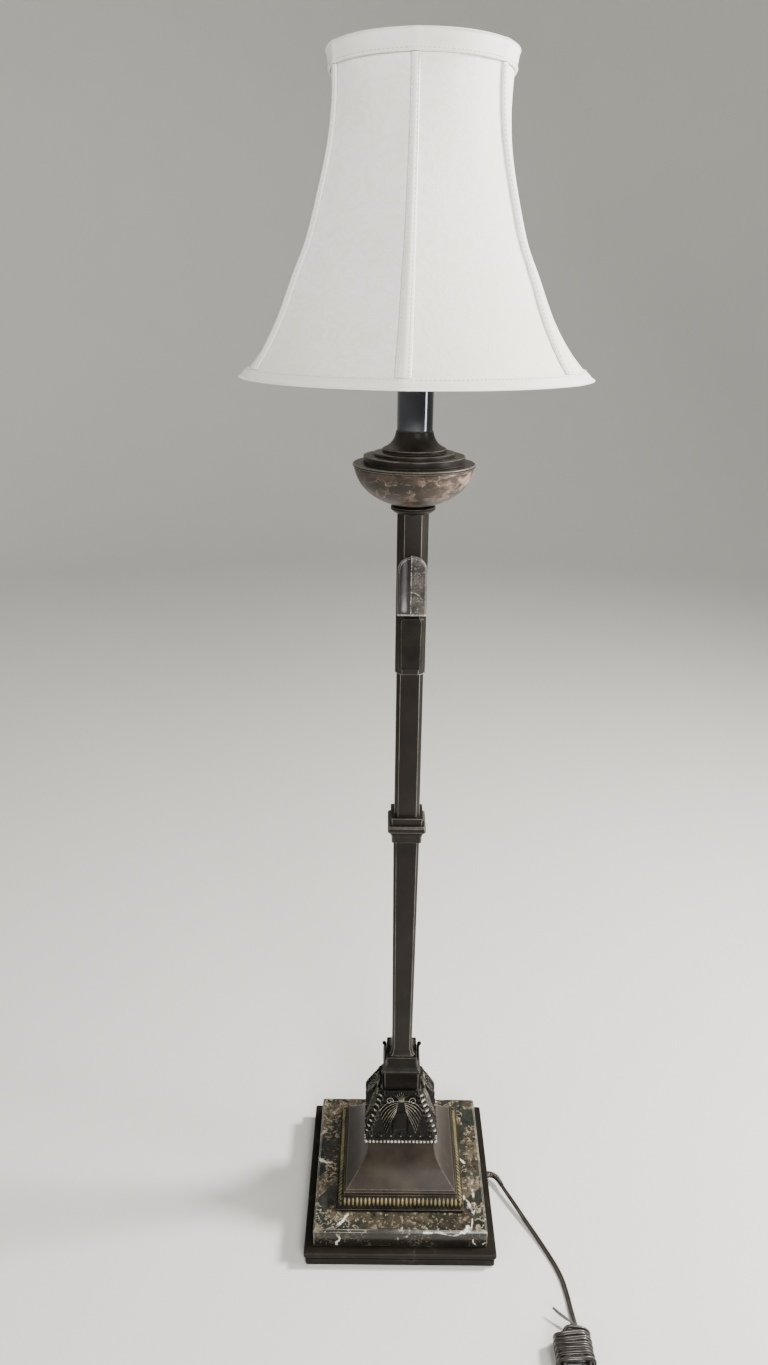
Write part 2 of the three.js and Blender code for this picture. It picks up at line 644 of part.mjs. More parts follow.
/** An octagon round the lead's centreline at a distance along it. */
function leadRing(distance, radius) {
  const share = distance / LEAD_LENGTH;
  const ahead = LEAD_CURVE.getTangentAt(share);
  const side = point(0, 0, 1).cross(ahead).normalize();
  const up = ahead.clone().cross(side);
  return spaced(0, 315, 7).map((angle) => {
    const out = side.clone().multiplyScalar(radius * Math.cos(radians(angle)));
    out.addScaledVector(up, radius * Math.sin(radians(angle)));
    return LEAD_CURVE.getPointAt(share).add(out);
  });
}

/** The strain relief: a sleeve that tapers along the first stretch of the lead. */
function strainRelief() {
  const rings = spaced(0, 1, 6).map((share) =>
    leadRing(share * RELIEF.length, THREE.MathUtils.lerp(RELIEF.wide, RELIEF.narrow, share)),
  );
  return loft(rings, false);
}

/** The flange that lines the lead's hole in the plinth's side. */
function bushing() {
  const { bore, flange: wide, nose, back, edge, front } = BUSHING;
  const flange = turned([[bore, back], [wide, back], [wide, edge], [nose, front], [bore, front]], 16);
  flange.rotateY(Math.PI / 2);
  flange.translate(0, LEAD.exitY, LEAD.height);
  return flange;
}

/** A flat two-blade plug lying on its broad side. */
function plug() {
  const { x, back, front, width, height, bottom, neck, grip, chamfer } = PLUG;
  const middle = bottom + height / 2;
  const section = (y, w, h) => {
    const [a, b] = [w / 2, h / 2];
    const [c, d] = [a - chamfer, b - chamfer];
    const outline = [[-c, -b], [c, -b], [a, -d], [a, d], [c, b], [-c, b], [-a, d], [-a, -d]];
    return outline.map(([across, up]) => point(x + across, y, middle + up));
  };
  const body = loft(
    [section(back, neck, neck), section(back + grip, width, height - 1), section(front, width, height)],
    false,
  );
  const blades = [-1, 1].map((side) => {
    const bx = x + (side * BLADE.apart) / 2;
    const [t, w] = [BLADE.thickness / 2, BLADE.width / 2];
    return block([bx - t, front - 1, middle - w], [bx + t, front + BLADE.reach, middle + w]);
  });
  return joined(body, ...blades);
}

function buildLead(lamp) {
  const laid = spaced(RELIEF.length + 2 * GAP, LEAD_LENGTH, 16).map((distance) =>
    LEAD_CURVE.getPointAt(Math.min(1, distance / LEAD_LENGTH)).toArray(),
  );
  piece(lamp, "lead_bushing", bushing(), FINISH.phenolic);
  piece(lamp, "strain_relief", strainRelief(), FINISH.rubber);
  piece(lamp, "lead", cut(bar(laid, LEAD.diameter, 18), hankSolid(GAP)), FINISH.rubber);
  piece(lamp, "lead_hank", hankSolid(0), FINISH.rubber);
  piece(lamp, "hank_tie", hankTie(), FINISH.rubber);
  piece(lamp, "lead_tail", cut(bar(TAIL_ROUTE, LEAD.diameter, 9), hankSolid(GAP)), FINISH.rubber);
  piece(lamp, "plug", plug(), FINISH.rubber);
}

// ---- The lamp -------------------------------------------------------------------------------

const lamp = new THREE.Group();
const stem = new THREE.Group();
stem.position.z = SLAB.top;
lamp.add(stem);

buildBase(lamp);
buildFoot(stem);
buildColumn(stem);
buildBowl(stem);
buildSocket(stem);
buildBulb(stem);
buildHarp(stem);
buildShade(stem);
buildLead(lamp);

export default lamp;
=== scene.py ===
"""A slim buffet lamp: stepped base, cast foot, square column, turned bowl and panelled bell shade.

Every piece is built round the lamp's own frame, in metres, with the floor at z = 0 and the lamp's front
towards -Y.
"""

from __future__ import annotations

import logging
import math
from dataclasses import dataclass, field
from enum import Enum
from typing import Any, Callable, Iterable, Sequence

import bmesh
import bpy
import numpy as np
from mathutils import Matrix, Vector

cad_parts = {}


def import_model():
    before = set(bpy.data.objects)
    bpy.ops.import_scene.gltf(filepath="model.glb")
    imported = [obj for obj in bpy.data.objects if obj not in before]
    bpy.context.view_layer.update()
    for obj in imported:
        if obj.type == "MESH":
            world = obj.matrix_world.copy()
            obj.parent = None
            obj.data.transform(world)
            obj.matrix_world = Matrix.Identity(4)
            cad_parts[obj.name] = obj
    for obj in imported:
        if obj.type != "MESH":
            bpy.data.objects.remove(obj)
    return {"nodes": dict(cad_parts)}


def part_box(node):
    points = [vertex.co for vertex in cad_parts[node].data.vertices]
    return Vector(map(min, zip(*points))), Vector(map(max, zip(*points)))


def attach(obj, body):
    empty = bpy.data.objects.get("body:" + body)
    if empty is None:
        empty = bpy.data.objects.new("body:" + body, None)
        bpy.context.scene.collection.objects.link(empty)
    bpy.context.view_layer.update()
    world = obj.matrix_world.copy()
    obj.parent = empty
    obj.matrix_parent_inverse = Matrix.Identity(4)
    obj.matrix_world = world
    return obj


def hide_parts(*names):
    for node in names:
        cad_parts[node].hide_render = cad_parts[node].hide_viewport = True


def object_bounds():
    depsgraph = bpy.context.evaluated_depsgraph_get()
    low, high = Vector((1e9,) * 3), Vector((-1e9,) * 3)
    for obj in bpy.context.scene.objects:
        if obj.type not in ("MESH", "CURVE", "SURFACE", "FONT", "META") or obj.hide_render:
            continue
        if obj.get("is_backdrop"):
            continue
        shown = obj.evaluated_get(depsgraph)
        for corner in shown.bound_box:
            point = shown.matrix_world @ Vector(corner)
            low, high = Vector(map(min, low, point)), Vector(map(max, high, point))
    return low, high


LOG = logging.getLogger("buffet_lamp")
MM = 0.001  # a millimetre in metres
SLAB_TOP = 36.0  # the marble's top over the floor, in millimetres
MERGE = 1e-6  # corners closer than this many metres are one corner
SQUARISH = 0.66  # the power that squares off the hank's wraps
Point = tuple[float, float, float]
Colour = tuple[float, float, float]
Pair = tuple[float, float]
Face = tuple[int, ...]
Section = Callable[[float], list[Pair]]
Profile = Callable[[float], float]
Outset = Callable[[float, float], float]
NODES: dict[str, bpy.types.Object] = {}


class Body(Enum):
    """The rigid bodies that a piece may ride on."""

    LAMP = "lamp"
    SHADE = "shade"
    FINIAL = "finial"
    BULB = "bulb"
    SWITCH = "switch"
    FERRULE_LEFT = "ferrule_left"
    FERRULE_RIGHT = "ferrule_right"


class Space(Enum):
    """Where a pattern takes its coordinates from."""

    OBJECT = "Object"
    UV = "UV"


# ---------------------------------------------------------------------------------------------
# Shader maths
# ---------------------------------------------------------------------------------------------


class Value:
    """A shader socket that takes part in Python expressions."""

    def __init__(self, shader: "Shader", socket: bpy.types.NodeSocket) -> None:
        """Wrap a socket of the given shader."""
        self.shader = shader
        self.socket = socket

    def _math(self, operation: str, *terms: Any) -> "Value":
        """Add one Math node."""
        return self.shader.node("ShaderNodeMath", {"operation": operation}, terms)

    def __add__(self, other: Any) -> "Value":
        """Sum."""
        return self._math("ADD", self, other)

    __radd__ = __add__

    def __sub__(self, other: Any) -> "Value":
        """Difference."""
        return self._math("SUBTRACT", self, other)

    def __rsub__(self, other: Any) -> "Value":
        """Difference from a number."""
        return self._math("SUBTRACT", other, self)

    def __mul__(self, other: Any) -> "Value":
        """Product."""
        return self._math("MULTIPLY", self, other)

    __rmul__ = __mul__

    def power(self, exponent: float) -> "Value":
        """Raise to a power."""
        return self._math("POWER", self, exponent)

    def sine(self) -> "Value":
        """Sine of the value in radians."""
        return self._math("SINE", self)

    def most(self, other: Any) -> "Value":
        """The larger of two values."""
        return self._math("MAXIMUM", self, other)

    def between(self, low: float, high: float) -> "Value":
        """Rise smoothly from 0 at low to 1 at high."""
        settings = {"interpolation_type": "SMOOTHSTEP"}
        return self.shader.node(
            "ShaderNodeMapRange", settings, {"Value": self, "From Min": low, "From Max": high}
        )


class Shader:
    """A material's node tree with one Principled BSDF."""

    def __init__(self, name: str) -> None:
        """Start a material with an output and a Principled BSDF."""
        self.material = bpy.data.materials.new(name)
        self.material.use_nodes = True
        self.tree = self.material.node_tree
        self.surface = self.tree.nodes["Principled BSDF"]

    def node(
        self, kind: str, settings: dict[str, Any] | None = None, inputs: Any = None, output: Any = 0
    ) -> Value:
        """Add any node.

        Args:
            kind: the node's type name.
            settings: properties set before its sockets; "stops" fills a colour ramp.
            inputs: values or links, by name or in order.
            output: the output socket's name or number.

        Returns:
            The chosen output as a Value.
        """
        made = self.tree.nodes.new(kind)
        for key, value in (settings or {}).items():
            if key == "stops":
                self._fill_ramp(made.color_ramp, value)
            else:
                setattr(made, key, value)
        pairs = inputs.items() if isinstance(inputs, dict) else enumerate(inputs or ())
        for key, value in pairs:
            self.put(made.inputs[key], value)
        return Value(self, made.outputs[output])

    @staticmethod
    def _fill_ramp(ramp: bpy.types.ColorRamp, stops: Sequence[tuple[float, Colour]]) -> None:
        """Give a colour ramp its stops."""
        while len(ramp.elements) < len(stops):
            ramp.elements.new(1.0)
        for element, (place, colour) in zip(ramp.elements, stops):
            element.position = place
            element.color = (*colour, 1.0)

    def put(self, socket: bpy.types.NodeSocket, value: Any) -> None:
        """Link a Value to a socket, or set the socket to a constant."""
        if isinstance(value, Value):
            self.tree.links.new(value.socket, socket)
        elif isinstance(value, tuple) and len(value) == 3 and socket.type == "RGBA":
            socket.default_value = (*value, 1.0)
        else:
            socket.default_value = value

    def set(self, **sockets: Any) -> None:
        """Set the Principled BSDF's sockets; an underscore stands for a space."""
        for name, value in sockets.items():
            self.put(self.surface.inputs[name.replace("_", " ")], value)

    def place(
        self, space: Space = Space.OBJECT, scale: Any = (1.0, 1.0, 1.0), turn: Point = (0.0, 0.0, 0.0)
    ) -> Value:
        """Coordinates, scaled and turned.

        Args:
            space: where the coordinates come from.
            scale: their scale along each axis.
            turn: their turn, in radians.

        Returns:
            The coordinates.
        """
        source = self.node("ShaderNodeTexCoord", output=space.value)
        return self.node("ShaderNodeMapping", inputs={"Vector": source, "Scale": scale, "Rotation": turn})

    def noise(
        self, place: Value, scale: float, detail: float = 3.0, rough: float = 0.55, warp: float = 0.0
    ) -> Value:
        """Fractal noise from 0 to 1.

        Args:
            place: the coordinates.
            scale: waves in a metre.
            detail: octaves.
            rough: how strong each octave is beside the last.
            warp: how far the pattern is bent.

        Returns:
            The noise.
        """
        inputs = {"Vector": place, "Scale": scale, "Detail": detail, "Roughness": rough, "Distortion": warp}
        return self.node("ShaderNodeTexNoise", inputs=inputs)

    def warped(self, place: Value, scale: float, strength: float, detail: float = 3.0) -> Value:
        """The place pushed about by coloured noise.

        Args:
            place: the coordinates.
            scale: the noise's scale.
            strength: how far it pushes, in metres.
            detail: octaves.

        Returns:
            The moved coordinates.
        """
        push = self.node(
            "ShaderNodeTexNoise", inputs={"Vector": place, "Scale": scale, "Detail": detail}, output=1
        )
        centred = self.node("ShaderNodeVectorMath", {"operation": "SUBTRACT"}, [push, (0.5, 0.5, 0.5)])
        scaled = self.node(
            "ShaderNodeVectorMath", {"operation": "SCALE"}, {"Vector": centred, "Scale": strength}
        )
        return self.node("ShaderNodeVectorMath", {"operation": "ADD"}, [place, scaled])

    def cells(
        self,
        place: Value,
        scale: float,
        feature: str = "F1",
        output: str = "Distance",
        loose: float = 1.0,
        metric: str = "EUCLIDEAN",
    ) -> Value:
        """Cell noise: a distance, a border distance or a colour for each cell.

        Args:
            place: the coordinates.
            scale: cells in a metre.
            feature: what is measured in a cell.
            output: the node's output.
            loose: how irregular the cells are.
            metric: how distance is counted.

        Returns:
            The chosen output.
        """
        settings = {"feature": feature}
        if feature != "DISTANCE_TO_EDGE":
            settings["distance"] = metric
        return self.node(
            "ShaderNodeTexVoronoi", settings, {"Vector": place, "Scale": scale, "Randomness": loose}, output
        )

    def mix(self, factor: Any, first: Any, second: Any) -> Value:
        """Blend two colours."""
        settings = {"data_type": "RGBA", "clamp_factor": True}
        return self.node("ShaderNodeMix", settings, {0: factor, 6: first, 7: second}, 2)

    def ramp(self, factor: Value, stops: Sequence[tuple[float, Colour]]) -> Value:
        """A colour ramp."""
        return self.node("ShaderNodeValToRGB", {"stops": stops}, {"Fac": factor})

    def part(self, place: Value, axis: int) -> Value:
        """One coordinate of a place: 0 is X, 1 is Y and 2 is Z."""
        return self.node("ShaderNodeSeparateXYZ", inputs=[place], output=axis)

    def attribute(self, name: str) -> Value:
        """A mesh attribute's number."""
        return self.node("ShaderNodeAttribute", {"attribute_name": name}, output="Fac")

    def bump(self, height: Value, strength: float, depth: float) -> None:
        """Feed the surface's normal from a height.

        Args:
            height: the surface's height.
            strength: how much of it is used.
            depth: its depth in metres.
        """
        settings = {"Height": height, "Strength": strength, "Distance": depth}
        self.set(Normal=self.node("ShaderNodeBump", inputs=settings))


# ---------------------------------------------------------------------------------------------
# Finishes
# ---------------------------------------------------------------------------------------------


@dataclass(frozen=True)
class Finish:
    """A named finish that paints one material and carries a material slot's name."""

    name: str
    slot: str

    def material(self) -> bpy.types.Material:
        """The finish's material, made once."""
        found = bpy.data.materials.get(self.name)
        if found:
            return found
        shader = Shader(self.name)
        self.paint(shader)
        return shader.material

    def paint(self, shader: Shader) -> None:
        """Wire the shader."""
        raise NotImplementedError


@dataclass(frozen=True)
class CastMetal(Finish):
    """Antiqued casting: a ground mottled with dark blotches, and rubbed high points."""

    ground: Colour = (0.011, 0.009, 0.006)
    hollow: Colour = (0.003, 0.0025, 0.002)
    rubbed: Colour = (0.24, 0.215, 0.145)
    rub: float = 0.85
    roughness: float = 0.5
    metal: float = 0.3
    grain: float = 0.35

    def paint(self, shader: Shader) -> None:
        """Dark blotches from noise and rubbed edges from the wear attribute, broken up by noise."""
        place = shader.place()
        blotch = shader.noise(place, 60.0, 5.0, 0.62)
        speck = shader.noise(place, 900.0, 3.0, 0.6)
        wear = shader.attribute("wear")
        ground = shader.mix(blotch.between(0.35, 0.7), self.hollow, self.ground)
        rough_edge = wear * (0.45 + 1.1 * speck) * (0.55 + 0.9 * blotch)
        rubbed = rough_edge.between(0.45, 1.3) * self.rub
        shader.set(
            Base_Color=shader.mix(rubbed, ground, self.rubbed),
            Metallic=self.metal,
            Specular_IOR_Level=0.2,
            Roughness=self.roughness + 0.22 * (speck - 0.5) - 0.08 * rubbed,
        )
        shader.bump(0.7 * speck + 0.6 * blotch, self.grain, 0.0004)


@dataclass(frozen=True)
class WornPaint(Finish):
    """Satin brown-black paint over metal, brushed down the length and rubbed bright on its arrises."""

    ground: Colour = (0.006, 0.0045, 0.0038)
    warm: Colour = (0.015, 0.0112, 0.0088)
    bare: Colour = (0.26, 0.25, 0.21)
    along: float = 8.0
    rub: float = 0.85
    gloss: float = 0.16

    def paint(self, shader: Shader) -> None:
        """Long streaks, fine pitting and bright worn edges."""
        place = shader.place()
        stretched = shader.place(scale=(1.0, 1.0, 1.0 / self.along))
        streak = shader.noise(stretched, 420.0, 4.0, 0.6)
        cloud = shader.noise(place, 28.0, 4.0, 0.6)
        speck = shader.noise(place, 1300.0, 2.0, 0.6)
        wear = shader.attribute("wear")
        broken = wear * (0.3 + 1.0 * streak) * (0.5 + 0.9 * speck + 0.3 * cloud)
        bare = broken.between(0.34, 0.9) * self.rub
        ground = shader.mix(0.75 * cloud.between(0.3, 0.75) + 0.25 * streak, self.ground, self.warm)
        pitted = shader.mix(speck.between(0.66, 0.8) * 0.2, ground, self.bare)
        shader.set(
            Base_Color=shader.mix(bare, pitted, self.bare),
            Metallic=0.05,
            Roughness=0.38 + 0.25 * (speck - 0.5) + 0.1 * (streak - 0.5),
            Specular_IOR_Level=self.gloss,
        )
        shader.bump(0.5 * speck + 0.5 * streak, 0.22, 0.0003)


@dataclass(frozen=True)
class PatchworkMarble(Finish):
    """Polished dark marble laid in patches, each with its own ground and its own thin lines."""

    patch: float = 42.0
    tan: Colour = (0.26, 0.24, 0.14)
    pink: Colour = (0.27, 0.215, 0.155)
    white: Colour = (0.60, 0.58, 0.50)
    roughness: float = 0.24

    def paint(self, shader: Shader) -> None:
        """Patches of ground with thin wandering lines and a few long white veins across them, pale arrises
        that are partly worn stone and partly painted highlight, and sides below the top painted dark as
        shade.
        """
        place = shader.place()
        bent = shader.warped(place, 30.0, 0.007)
        patch = shader.cells(bent, self.patch, output="Color", loose=0.8, metric="CHEBYCHEV")
        pick = shader.node("ShaderNodeSeparateColor", inputs=[patch])
        other = shader.node("ShaderNodeSeparateColor", inputs=[patch], output=1)
        ground = shader.ramp(
            pick,
            [
                (0.0, (0.010, 0.011, 0.009)),
                (0.25, (0.030, 0.030, 0.022)),
                (0.42, (0.014, 0.021, 0.018)),
                (0.58, (0.050, 0.038, 0.027)),
                (0.74, (0.018, 0.016, 0.012)),
                (0.9, (0.075, 0.062, 0.042)),
            ],
        )
        stain = shader.noise(place, 150.0, 5.0, 0.65).between(0.4, 0.75)
        cloudy = shader.mix(stain, ground, (0.008, 0.008, 0.006))
        patchy = shader.noise(place, 70.0, 4.0, 0.6)
        squiggle = self._contours(shader, place, 95.0, 34.0)
        scratch = self._contours(shader, place, 190.0, 22.0)
        lines = squiggle * (patchy + 0.9 * other).between(0.8, 1.15)
        hairs = scratch * (patchy + 0.9 * pick).between(0.85, 1.2)
        pink = shader.mix(other, self.tan, self.pink)
        veined = shader.mix(0.55 * hairs, shader.mix(0.8 * lines, cloudy, pink), pink)
        # Pale arrises from the wear attribute: partly worn stone, partly a painted highlight along the slab's
        # edges.
        edge = (shader.attribute("wear") * (0.4 + patchy)).between(0.5, 1.0) * 0.5
        # Painted shade: the slab's sides, below its top, are painted nearly black.
        height = shader.part(place, 2)
        marble_with_painted_shade_sides = shader.mix(0.72 * (1 - height.between(0.0335, 0.0352)), veined, (0.010, 0.008, 0.006))
        shader.set(
            Base_Color=shader.mix((0.95 * self._long_veins(shader, patchy)).most(edge), marble_with_painted_shade_sides, self.white),
            Roughness=self.roughness + 0.12 * lines + 0.1 * (patchy - 0.5),
            Specular_IOR_Level=0.25,
            Coat_Weight=0.08,
            Coat_Roughness=0.12,
        )
        shader.bump(lines + hairs, 0.08, 0.0002)

    @staticmethod
    def _contours(shader: Shader, place: Value, scale: float, lines: float) -> Value:
        """Thin wandering lines: the contours of warped noise."""
        level = shader.noise(shader.warped(place, 2.0 * scale, 0.5 / scale, 4.0), scale, 3.0, 0.6)
        return (lines * level).sine().between(0.72, 0.98)

    @staticmethod
    def _long_veins(shader: Shader, patchy: Value) -> Value:
        """A few long pale veins, broken here and there."""
        turned = shader.place(scale=(1.0, 0.45, 1.0), turn=(0.0, 0.0, 0.9))
        border = shader.cells(shader.warped(turned, 45.0, 0.02, 5.0), 17.0, "DISTANCE_TO_EDGE")
        return (1 - border.between(0.004, 0.018)) * patchy.between(0.47, 0.58)


@dataclass(frozen=True)
class DarkStone(Finish):
    """Near-black speckled stone with grey dust in its pores."""

    ground: Colour = (0.0035, 0.0028, 0.0022)
    speck: Colour = (0.058, 0.052, 0.040)

    def paint(self, shader: Shader) -> None:
        """Fine specks, thin veins and rubbed edges."""
        place = shader.place()
        grit = shader.noise(place, 1100.0, 4.0, 0.7)
        cloud = shader.noise(place, 45.0, 5.0, 0.6)
        cracks = shader.cells(shader.warped(place, 90.0, 0.01, 4.0), 55.0, "DISTANCE_TO_EDGE")
        vein = 1 - cracks.between(0.0, 0.03)
        wear = shader.attribute("wear") * (0.4 + grit)
        dust = (grit.between(0.6, 0.74) * 0.6).most(vein * cloud.between(0.5, 0.7) * 0.8)
        mask = dust.most(wear.between(0.3, 0.85))
        shader.set(
            Base_Color=shader.mix(mask, shader.mix(cloud, self.ground, (0.017, 0.014, 0.010)), self.speck),
            Roughness=0.52 + 0.3 * (grit - 0.5),
            Specular_IOR_Level=0.08,
        )
        shader.bump(grit, 0.25, 0.0003)


@dataclass(frozen=True)
class BowlStone(Finish):
    """Glossy mottled stone: brown and dark green clouds with pale threads, painted lighter and pinker on its
    right side where the light falls.
    """

    brown: Colour = (0.048, 0.031, 0.023)
    green: Colour = (0.017, 0.014, 0.010)
    beige: Colour = (0.15, 0.105, 0.082)
    pink: Colour = (0.27, 0.185, 0.15)
    along: Point = (1.0, 1.0, 1.6)

    def paint(self, shader: Shader) -> None:
        """Large warped clouds, beige patches, fine curved veins and painted light on the right side."""
        place = shader.place(scale=self.along)
        bent = shader.warped(place, 55.0, 0.020, 4.0)
        cloud = shader.noise(bent, 48.0, 5.0, 0.6)
        second = shader.noise(bent, 95.0, 5.0, 0.65)
        ground = shader.mix(cloud.between(0.38, 0.62), self.green, self.brown)
        # Painted light: the bowl's right side, where the light falls, gets light pink patches.
        right = shader.part(place, 0).between(0.010, 0.034)
        patch = shader.mix(second.between(0.5, 0.68) * 0.6, ground, self.beige)
        patch = shader.mix(0.8 * right * second.between(0.42, 0.6), patch, self.pink)
        threads = shader.cells(shader.warped(place, 80.0, 0.016, 5.0), 70.0, "DISTANCE_TO_EDGE")
        thread = (1 - threads.between(0.004, 0.03)) * second.between(0.4, 0.6)
        shader.set(
            Base_Color=shader.mix(0.35 * thread, patch, (0.40, 0.32, 0.24)),
            Roughness=0.38 + 0.12 * second,
            Specular_IOR_Level=0.2,
            Coat_Weight=0.06,
            Coat_Roughness=0.08,
        )
        shader.bump(cloud, 0.05, 0.0003)


@dataclass(frozen=True)
class PlaqueStone(Finish):
    """The arched stone: glossy black to the left of a bright join, mottled to its right, with a curved vein,
    a painted highlight streak on the black half and a rim painted brighter at its upper left.

    Places are in metres in the part's frame.
    """

    join: float = -0.0008
    vein: Point = (-0.001, 0.6215, 0.009)
    foot: float = 0.6124
    dark: Colour = (0.009, 0.0075, 0.008)
    mottle: Colour = (0.060, 0.050, 0.040)
    dust: Colour = (0.22, 0.20, 0.165)
    bright: Colour = (0.52, 0.50, 0.44)

    def paint(self, shader: Shader) -> None:
        """Two halves, the join between them, the vein over both, a rim rubbed pale and painted brighter on
        its upper left as a highlight, and a painted highlight streak on the black half.
        """
        place = shader.place()
        bent = shader.warped(place, 160.0, 0.0012, 3.0)
        across = shader.part(bent, 0)
        height = shader.part(bent, 2)
        grit = shader.noise(place, 620.0, 4.0, 0.65)
        cloud = shader.noise(place, 130.0, 4.0, 0.6)
        right = across.between(self.join - 0.0002, self.join + 0.0002)
        dusty = shader.mix(cloud.between(0.35, 0.7), self.dark, self.mottle)
        mottled = shader.mix(grit.between(0.52, 0.72) * 0.8, dusty, self.dust)
        ground = shader.mix(right, self.dark, mottled)
        join = 1 - self._away(across - self.join).between(0.00008, 0.00042)
        centre, level, radius = self.vein
        run, rise = across - centre, height - level
        circle = 1 - self._away((run * run + rise * rise).power(0.5) - radius).between(0.0001, 0.00045)
        upper = height.between(level, level + 0.002) * (0.08 + 0.6 * right)
        # The rim is rubbed pale all round and painted brighter over its upper left: a painted highlight.
        crown = height.between(0.640, 0.652) * (1 - across.between(-0.002, 0.004))
        rim = (shader.attribute("wear") * (0.5 + grit)).between(0.45, 1.1) * (0.25 + 0.75 * crown)
        foot = 0.5 * (1 - height.between(self.foot + 0.0001, self.foot + 0.0007)) * grit.between(0.3, 0.55)
        # Painted highlight: a soft vertical streak on the black half, brightest low down.
        gloss = across.between(-0.0088, -0.0058) * (1 - across.between(-0.0055, -0.0030))
        lower = 0.25 + 0.75 * (1 - height.between(0.6165, 0.632))
        streak = gloss * lower * height.between(0.6135, 0.6165)
        joined = (0.8 * join * grit.between(0.38, 0.62)).most(circle * upper * grit.between(0.3, 0.6))
        line = joined.most(rim).most(foot)
        shader.set(
            Base_Color=shader.mix(0.85 * line, shader.mix(streak, ground, (0.20, 0.185, 0.195)), self.bright),
            Roughness=0.2 + 0.25 * right + 0.1 * (grit - 0.5),
            Specular_IOR_Level=0.35,
            Coat_Weight=0.2,
            Coat_Roughness=0.1,
        )
        shader.bump(grit * right, 0.08, 0.0002)

    @staticmethod
    def _away(offset: Value) -> Value:
        """An offset's size without its sign."""
        return offset.most(0 - offset)


@dataclass(frozen=True)
class PlainMetal(Finish):
    """Turned metal with fine tool rings and a little tarnish."""

    bright: Colour = (0.6, 0.6, 0.58)
    dull: Colour = (0.3, 0.3, 0.29)
    roughness: float = 0.3
    rings: float = 2600.0

    def paint(self, shader: Shader) -> None:
        """Tool rings along Z and soft tarnish."""
        place = shader.place()
        ring = shader.noise(shader.place(scale=(0.02, 0.02, 1.0)), self.rings, 2.0, 0.5)
        stain = shader.noise(place, 70.0, 5.0, 0.6)
        shader.set(
            Base_Color=shader.mix(stain.between(0.35, 0.75), self.bright, self.dull),
            Metallic=1.0,
            Roughness=self.roughness + 0.2 * (stain - 0.5) + 0.08 * (ring - 0.5),
        )
        shader.bump(ring, 0.06, 0.0002)


@dataclass(frozen=True)
class Moulded(Finish):
    """Moulded plastic, fibre or felt: a speckled ground with a fine grain."""

    colour: Colour = (0.02, 0.017, 0.014)
    fleck: Colour = (0.05, 0.045, 0.04)
    roughness: float = 0.5
    grain: float = 1500.0
    depth: float = 0.2
    sheen: float = 0.0

    def paint(self, shader: Shader) -> None:
        """Grain in colour, roughness and bump."""
        place = shader.place()
        grain = shader.noise(place, self.grain, 3.0, 0.6)
        cloud = shader.noise(place, 90.0, 3.0, 0.5)
        shader.set(
            Base_Color=shader.mix((0.6 * grain + 0.4 * cloud).between(0.35, 0.75), self.colour, self.fleck),
            Roughness=self.roughness + 0.2 * (grain - 0.5),
            Sheen_Weight=self.sheen,
        )
        shader.bump(grain, self.depth, 0.0002)


@dataclass(frozen=True)
class FrostedGlass(Finish):
    """The bulb's frosted glass."""

    def paint(self, shader: Shader) -> None:
        """A milky, slightly clear shell."""
        mist = shader.noise(shader.place(), 500.0, 3.0)
        shader.set(
            Base_Color=shader.mix(mist, (0.86, 0.85, 0.82), (0.95, 0.94, 0.9)),
            Roughness=0.32 + 0.1 * mist,
            Transmission_Weight=0.35,
            Coat_Weight=0.3,
        )


@dataclass(frozen=True)
class Damask(Finish):
    """Cream damask: faint swirling figures in the sheen of a fine weave."""

    ground: Colour = (0.88, 0.875, 0.86)
    figure: Colour = (0.85, 0.815, 0.70)
    shade: Colour = (0.68, 0.64, 0.52)
    threads: float = 2100.0
    figures: float = 40.0
    contrast: float = 1.0
    warmth: float = 0.35

    def paint(self, shader: Shader) -> None:
        """Swirls drawn as bands of warped noise, over warp and weft threads."""
        cloth = shader.place(Space.UV)
        swirl = shader.noise(shader.warped(cloth, self.figures, 0.03, 2.0), self.figures, 1.0, 0.5, 1.2)
        bands = (52.0 * swirl).sine().between(-0.35, 0.75)
        leafy = shader.noise(cloth, 3.4 * self.figures, 3.0, 0.55).between(0.42, 0.62)
        figure = (0.75 * bands + 0.25 * leafy) * self.contrast
        warp = self._threads(shader, (1.0, 0.03, 1.0))
        weft = self._threads(shader, (0.03, 1.0, 1.0))
        weave = 0.5 * warp + 0.5 * weft
        warm_blotches = shader.noise(cloth, 9.0, 4.0, 0.6)
        # Yellower towards the bottom of the shade, in blotches.
        height = shader.part(shader.place(), 2)
        low = (1 - height.between(0.79, 0.90)) * warm_blotches.between(0.3, 0.6)
        tone = shader.mix((figure + 0.55 * low).between(0.0, 1.2), self.ground, self.figure)
        aged = shader.mix(warm_blotches.between(0.4, 0.85) * self.warmth, tone, self.shade)
        shader.set(
            Base_Color=shader.mix((1 - weave.between(0.25, 0.55)) * 0.32, aged, self.shade),
            Roughness=0.86 - 0.22 * figure,
            Sheen_Weight=0.25,
        )
        shader.bump(weave + 0.5 * figure, 0.32, 0.0003)

    def _threads(self, shader: Shader, stretch: Point) -> Value:
        """Threads running one way across the cloth."""
        return shader.noise(shader.place(Space.UV, stretch), self.threads, 2.0, 0.5)


